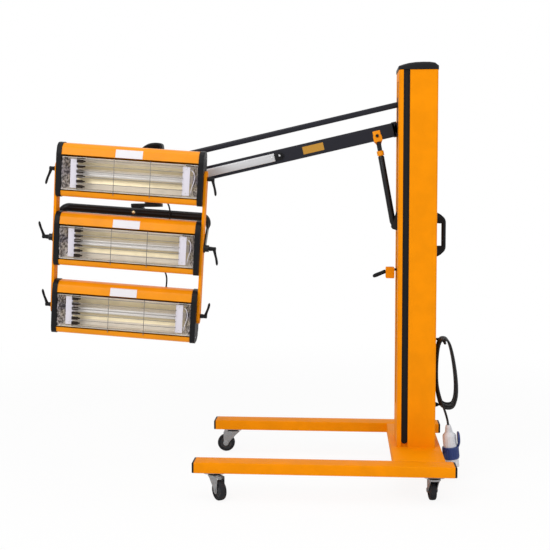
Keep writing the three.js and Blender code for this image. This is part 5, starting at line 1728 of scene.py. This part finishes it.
    def lamp(self) -> None:
        """The twin tube, its sockets and clips, and the white plates at its ends."""
        z, y = self.middle, -1.55
        tube = Form()
        for up in (-5.5, 5.5):
            tube.rod((-204, y, z + up), (204, y, z + up), 5.5, Look.QUARTZ, by=1.5, sides=32)
            coil = [(i - 190, y + 0.9 * math.cos(i * 1.4), z + up + 0.9 * math.sin(i * 1.4))
                    for i in range(0, 381, 2)]
            tube.wire(coil, 0.5, Look.CLIP, 5)
        tube.box((-203, y - 2, z - 3.4), (203, y + 2, z + 3.4), Look.QUARTZ, 0.6)
        ends = Form()
        for side in SIDES:
            inner, outer = sorted(side * x for x in self.plate_span)
            ends.box((inner, -32, z - 56), (outer, -30, z + 56), Look.CERAMIC, 0.5)
            seat = sorted((side * 203, side * 219))
            ends.box((seat[0], -30.5, z - 13), (seat[1], 24, z + 13), Look.CERAMIC, 1.5)
            for up in (-46, 46):
                ends.rod((side * 218, -31.8, z + up), (side * 218, -33, z + up), 2.6, Look.STEEL, by=0.6,
                         sides=20)
        clips = Form()
        for i in range(6):
            up = (i - 2.5) * self.clip_pitch
            clips.box((-207, -38, z + up - 6), (-182, -30.6, z + up + 5.5), Look.CLIP, 1.4)
            clips.rod((-183, -34.4, z + up), (-173, -34.4, z + up), 4.2, Look.CLIP, 2.4, by=0.5, sides=16)
        for x in (-206, 216):
            clips.box((x, -38, z + 58), (x + 32, -31, z + 66), Look.CLIP, 1.0)
        sleeve = ((233, -22, 44), (246, -30, 34), (250, -33, 8), (241, -30, -26), (236, -20, -48))
        ends.wire(flow([Vector((x, depth, z + up)) for x, depth, up in sleeve], 5), 1.6, Look.CERAMIC, 12)
        self.keep(tube, "twin_tube", "quartz_white", "lamp")
        self.keep(ends, "end_plates", "quartz_white")
        self.keep(clips, "tube_clips", "black_plastic")

    def guard(self) -> None:
        """The welded wire guard over the window."""
        form = Form()
        low, high = self.window
        bends = ((206.5, -34.0), (205.4, -39.5), (202.4, -43.2), (198.0, self.guard_y))
        for i in range(self.wires):
            z = low + (i + 0.5) * (high - low) / self.wires
            path = [(-x, y, z) for x, y in bends] + [(x, y, z) for x, y in reversed(bends)]
            form.wire(path, self.wire, Look.GUARD, 10)
        for x in self.guard_bars:
            form.rod((x, self.guard_y - 2, low - 5), (x, self.guard_y - 2, high), self.wire, Look.GUARD,
                     by=0.3, sides=12)
        self.keep(form, "wire_guard", "wire", "grille")

    def build(self) -> None:
        """Makes the cassette."""
        self.housing()
        self.back()
        self.reflector()
        self.lamp()
        self.guard()


@dataclass
class ClampLever(Assembly):
    """A clamping lever on a cassette's pivot."""

    name: str
    side: int
    row: int
    turn: float
    yoke_seat: float = 316.3
    bar_seat: float = 295.8
    stud_end: float = 275.1
    sizes: tuple[float, ...] = (6.8, 6.4, 6.0, 5.6, 5.2, 4.9, 4.7, 4.6, 4.6, 4.7, 4.8, 4.9, 4.9, 4.7, 4.3,
                                1.6)

    def build(self) -> None:
        """Makes the lever: a ribbed hub, a swept handle and a steel stud."""
        seat = self.yoke_seat if self.row == 0 else self.bar_seat
        frame = PLACES.head() @ placed(self.side * seat, 0, self.row * PLACES.pitch, (self.turn, 0, 0))
        s = self.side
        axis = facing((0, 0, 0), (s, 0, 0))
        hub = [(0, 0), (7.4, 0), (8.5, 1.2), (8.5, 10), (7.7, 12), (7.7, 20), (8.2, 24), (7.2, 27),
               (4.6, 28), (0, 28)]
        form = Form().turned(hub, Look.PLASTIC, axis, 32)
        form.ribs(12, (7.4, -0.9, 1.6), (8.5, 0.9, 9.6), Look.PLASTIC, 0.3, axis)
        path = [*bezier(upright([(s * 20, 0), (s * 23, 10), (s * 27, 24), (s * 31, 34)]), 8)[:-1],
                *bezier(upright([(s * 31, 34), (s * 33, 42), (s * 35.4, 50), (s * 36.2, 58)]), 6),
                *upright([(s * 36.7, 63)])]
        form.wire(path, self.sizes, Look.PLASTIC, 20)
        form.rod((s * (self.stud_end - seat), 0, 0), (s * 0.5, 0, 0), 4, Look.STEEL, by=0.4, sides=24)
        form.rod((s * 27.6, 0, 0), (s * 28.6, 0, 0), 3.4, Look.STEEL, by=0.4, sides=20)
        body = f"lever_{self.name}"
        self.bench.piece(form, f"{body}_swept", body, frame, "black_plastic", [body])


@dataclass
class Head(Assembly):
    """The frame of side bars with three cassettes, six levers and the link leads."""

    lead: float = 6.5
    lead_x: float = 118.0
    lead_sag: float = 26.0
    lead_back: float = 45.3
    lead_clear: float = 51.8
    lead_low: float = 51.25
    levers: tuple[tuple[str, int, int, float], ...] = (
        ("top_left", -1, 1, 170), ("middle_left", -1, 0, 15), ("bottom_left", -1, -1, 12),
        ("top_right", 1, 1, 168), ("middle_right", 1, 0, 165), ("bottom_right", 1, -1, 20))

    def bars(self) -> None:
        """Both side bars."""
        for name in ("left_side_bar", "right_side_bar"):
            self.bench.dressed(name, "head_frame", Look.ORANGE, "orange_sheet", 1.2)

    def leads(self, cords: CordSet) -> None:
        """The leads that hang between the cassettes' backs, with their entries.

        Args:
            cords: the maker of flexes.
        """
        for name, z in (("upper_link_lead", PLACES.pitch), ("lower_link_lead", 0.0)):
            back, clear, sag = self.lead_back, self.lead_clear, self.lead_sag
            near, far, out = z - self.lead_low, z - PLACES.pitch + self.lead_low, clear + sag / 2
            knots = [(0, back, near), (0, clear, near), (0, out, near - sag),
                     (sag, out, z - PLACES.pitch / 2), (sag, out, far + sag), (sag, clear, far),
                     (sag, back, far)]
            points = flow([Vector((x + self.lead_x, y, up)) for x, y, up in knots], 6)
            frame = PLACES.head()
            made = cords.flex(name + "_flex", points, self.lead, frame, "head_frame", [name])
            frame @ points[0] * MM
            run_length(points)

    def build(self, cords: CordSet) -> None:
        """Makes the head.

        Args:
            cords: the maker of flexes.
        """
        self.bars()
        for name, row in (("top", 1), ("middle", 0), ("bottom", -1)):
            Cassette(self.bench, name, row).build()
        for lever in self.levers:
            ClampLever(self.bench, *lever).build()
        self.leads(cords)


# Studio


@dataclass
class Studio:
    """A pale floor, a white surround and soft lamps."""

    floor: float = 8.0
    surround: float = 0.6
    key: float = 78.0
    fill: float = 26.0
    top: float = 36.0
    fade: Pair = (1.4, 3.4)
    glow: Pair = (0.9, 0.1)

    def backdrop(self) -> None:
        """The world: a plain soft level for the object, white to the eye and in mirrors."""
        world = bpy.data.worlds.new("studio")
        bpy.context.scene.world = world
        world.use_nodes = True
        tree = world.node_tree
        background = tree.nodes["Background"]
        path = tree.nodes.new("ShaderNodeLightPath")
        seen = tree.nodes.new("ShaderNodeMath")
        seen.operation = "MAXIMUM"
        tree.links.new(path.outputs["Is Camera Ray"], seen.inputs[0])
        either = tree.nodes.new("ShaderNodeMath")
        either.operation = "MAXIMUM"
        tree.links.new(path.outputs["Is Glossy Ray"], either.inputs[0])
        tree.links.new(path.outputs["Is Transmission Ray"], either.inputs[1])
        tree.links.new(either.outputs[0], seen.inputs[1])
        level = tree.nodes.new("ShaderNodeMapRange")
        level.inputs["To Min"].default_value = self.surround
        level.inputs["To Max"].default_value = 1.0
        tree.links.new(seen.outputs[0], level.inputs["Value"])
        tree.links.new(level.outputs["Result"], background.inputs["Strength"])
        background.inputs["Color"].default_value = (1.0, 1.0, 1.0, 1.0)

    def ground(self) -> None:
        """The floor, which keeps the object's shadow and fades into the surround."""
        form = bmesh.new()
        bmesh.ops.create_circle(form, cap_ends=True, segments=96, radius=self.floor)
        mesh = bpy.data.meshes.new("studio_floor")
        form.to_mesh(mesh)
        form.free()
        s = Surface("pale_floor")
        s.wear("Base Color", (0.92, 0.92, 0.92, 1.0))
        s.wear("Roughness", 0.9)
        s.wear("Specular IOR Level", 0.1)
        light = s.node("ShaderNodeEmission", {}, {"Color": (1.0, 1.0, 1.0, 1.0), "Strength": 1.0})
        where = s.node("ShaderNodeVectorMath", {"operation": "LENGTH"}, {0: s.place()})
        far = s.out(where, "Value").between(*self.fade)
        camera = s.out(s.node("ShaderNodeLightPath"), "Is Camera Ray")
        share = camera * (self.glow[0] + self.glow[1] * far)
        mixed = s.node("ShaderNodeMixShader", {},
                       {0: share, 1: s.out(s.shader, "BSDF"), 2: s.out(light, "Emission")})
        s.tree.links.new(mixed.outputs[0], s.tree.nodes["Material Output"].inputs["Surface"])
        mesh.materials.append(s.material)
        floor = bpy.data.objects.new("studio_floor", mesh)
        bpy.context.scene.collection.objects.link(floor)

    def lamp(self, name: str, place: Point, target: Point, size: float, energy: float) -> None:
        """One soft area lamp.

        Args:
            name: its name.
            place: where it stands, in metres.
            target: what it looks at.
            size: its width.
            energy: its power in watts.
        """
        data = bpy.data.lights.new(name, "AREA")
        data.size, data.energy = size, energy
        lamp = bpy.data.objects.new(name, data)
        lamp.location = place
        lamp.rotation_euler = (Vector(target) - Vector(place)).to_track_quat("-Z", "Y").to_euler()
        bpy.context.scene.collection.objects.link(lamp)

    def build(self) -> None:
        """Makes the studio."""
        bpy.context.scene.view_settings.view_transform = "Standard"
        self.backdrop()
        self.ground()
        lamps = (("key_lamp", (-1.8, -3.6, 3.4), (0.1, 0, 0.8), 2.4, self.key),
                 ("fill_lamp", (3.2, -2.4, 2.2), (0.3, 0, 0.9), 2.4, self.fill),
                 ("top_lamp", (0.2, -0.6, 4.2), (0.2, 0, 0.6), 2.8, self.top))
        for name, place, target, size, energy in lamps:
            self.lamp(name, place, target, size, energy)


def main() -> None:
    """Builds the lamp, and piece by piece."""
    logging.basicConfig(level=logging.INFO, format="%(message)s")
    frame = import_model()
    bench = Bench(frame["nodes"])
    PhotoCamera().build()
    cords = CordSet(bench)
    cords.build()
    for group in (RollingBase, Column, Lift, ParallelArm, Knuckle):
        group(bench).build()
    Head(bench).build(cords)
    Studio().build()
    log.info("%d pieces", bench.count)


if __name__ == "__main__":
    main()
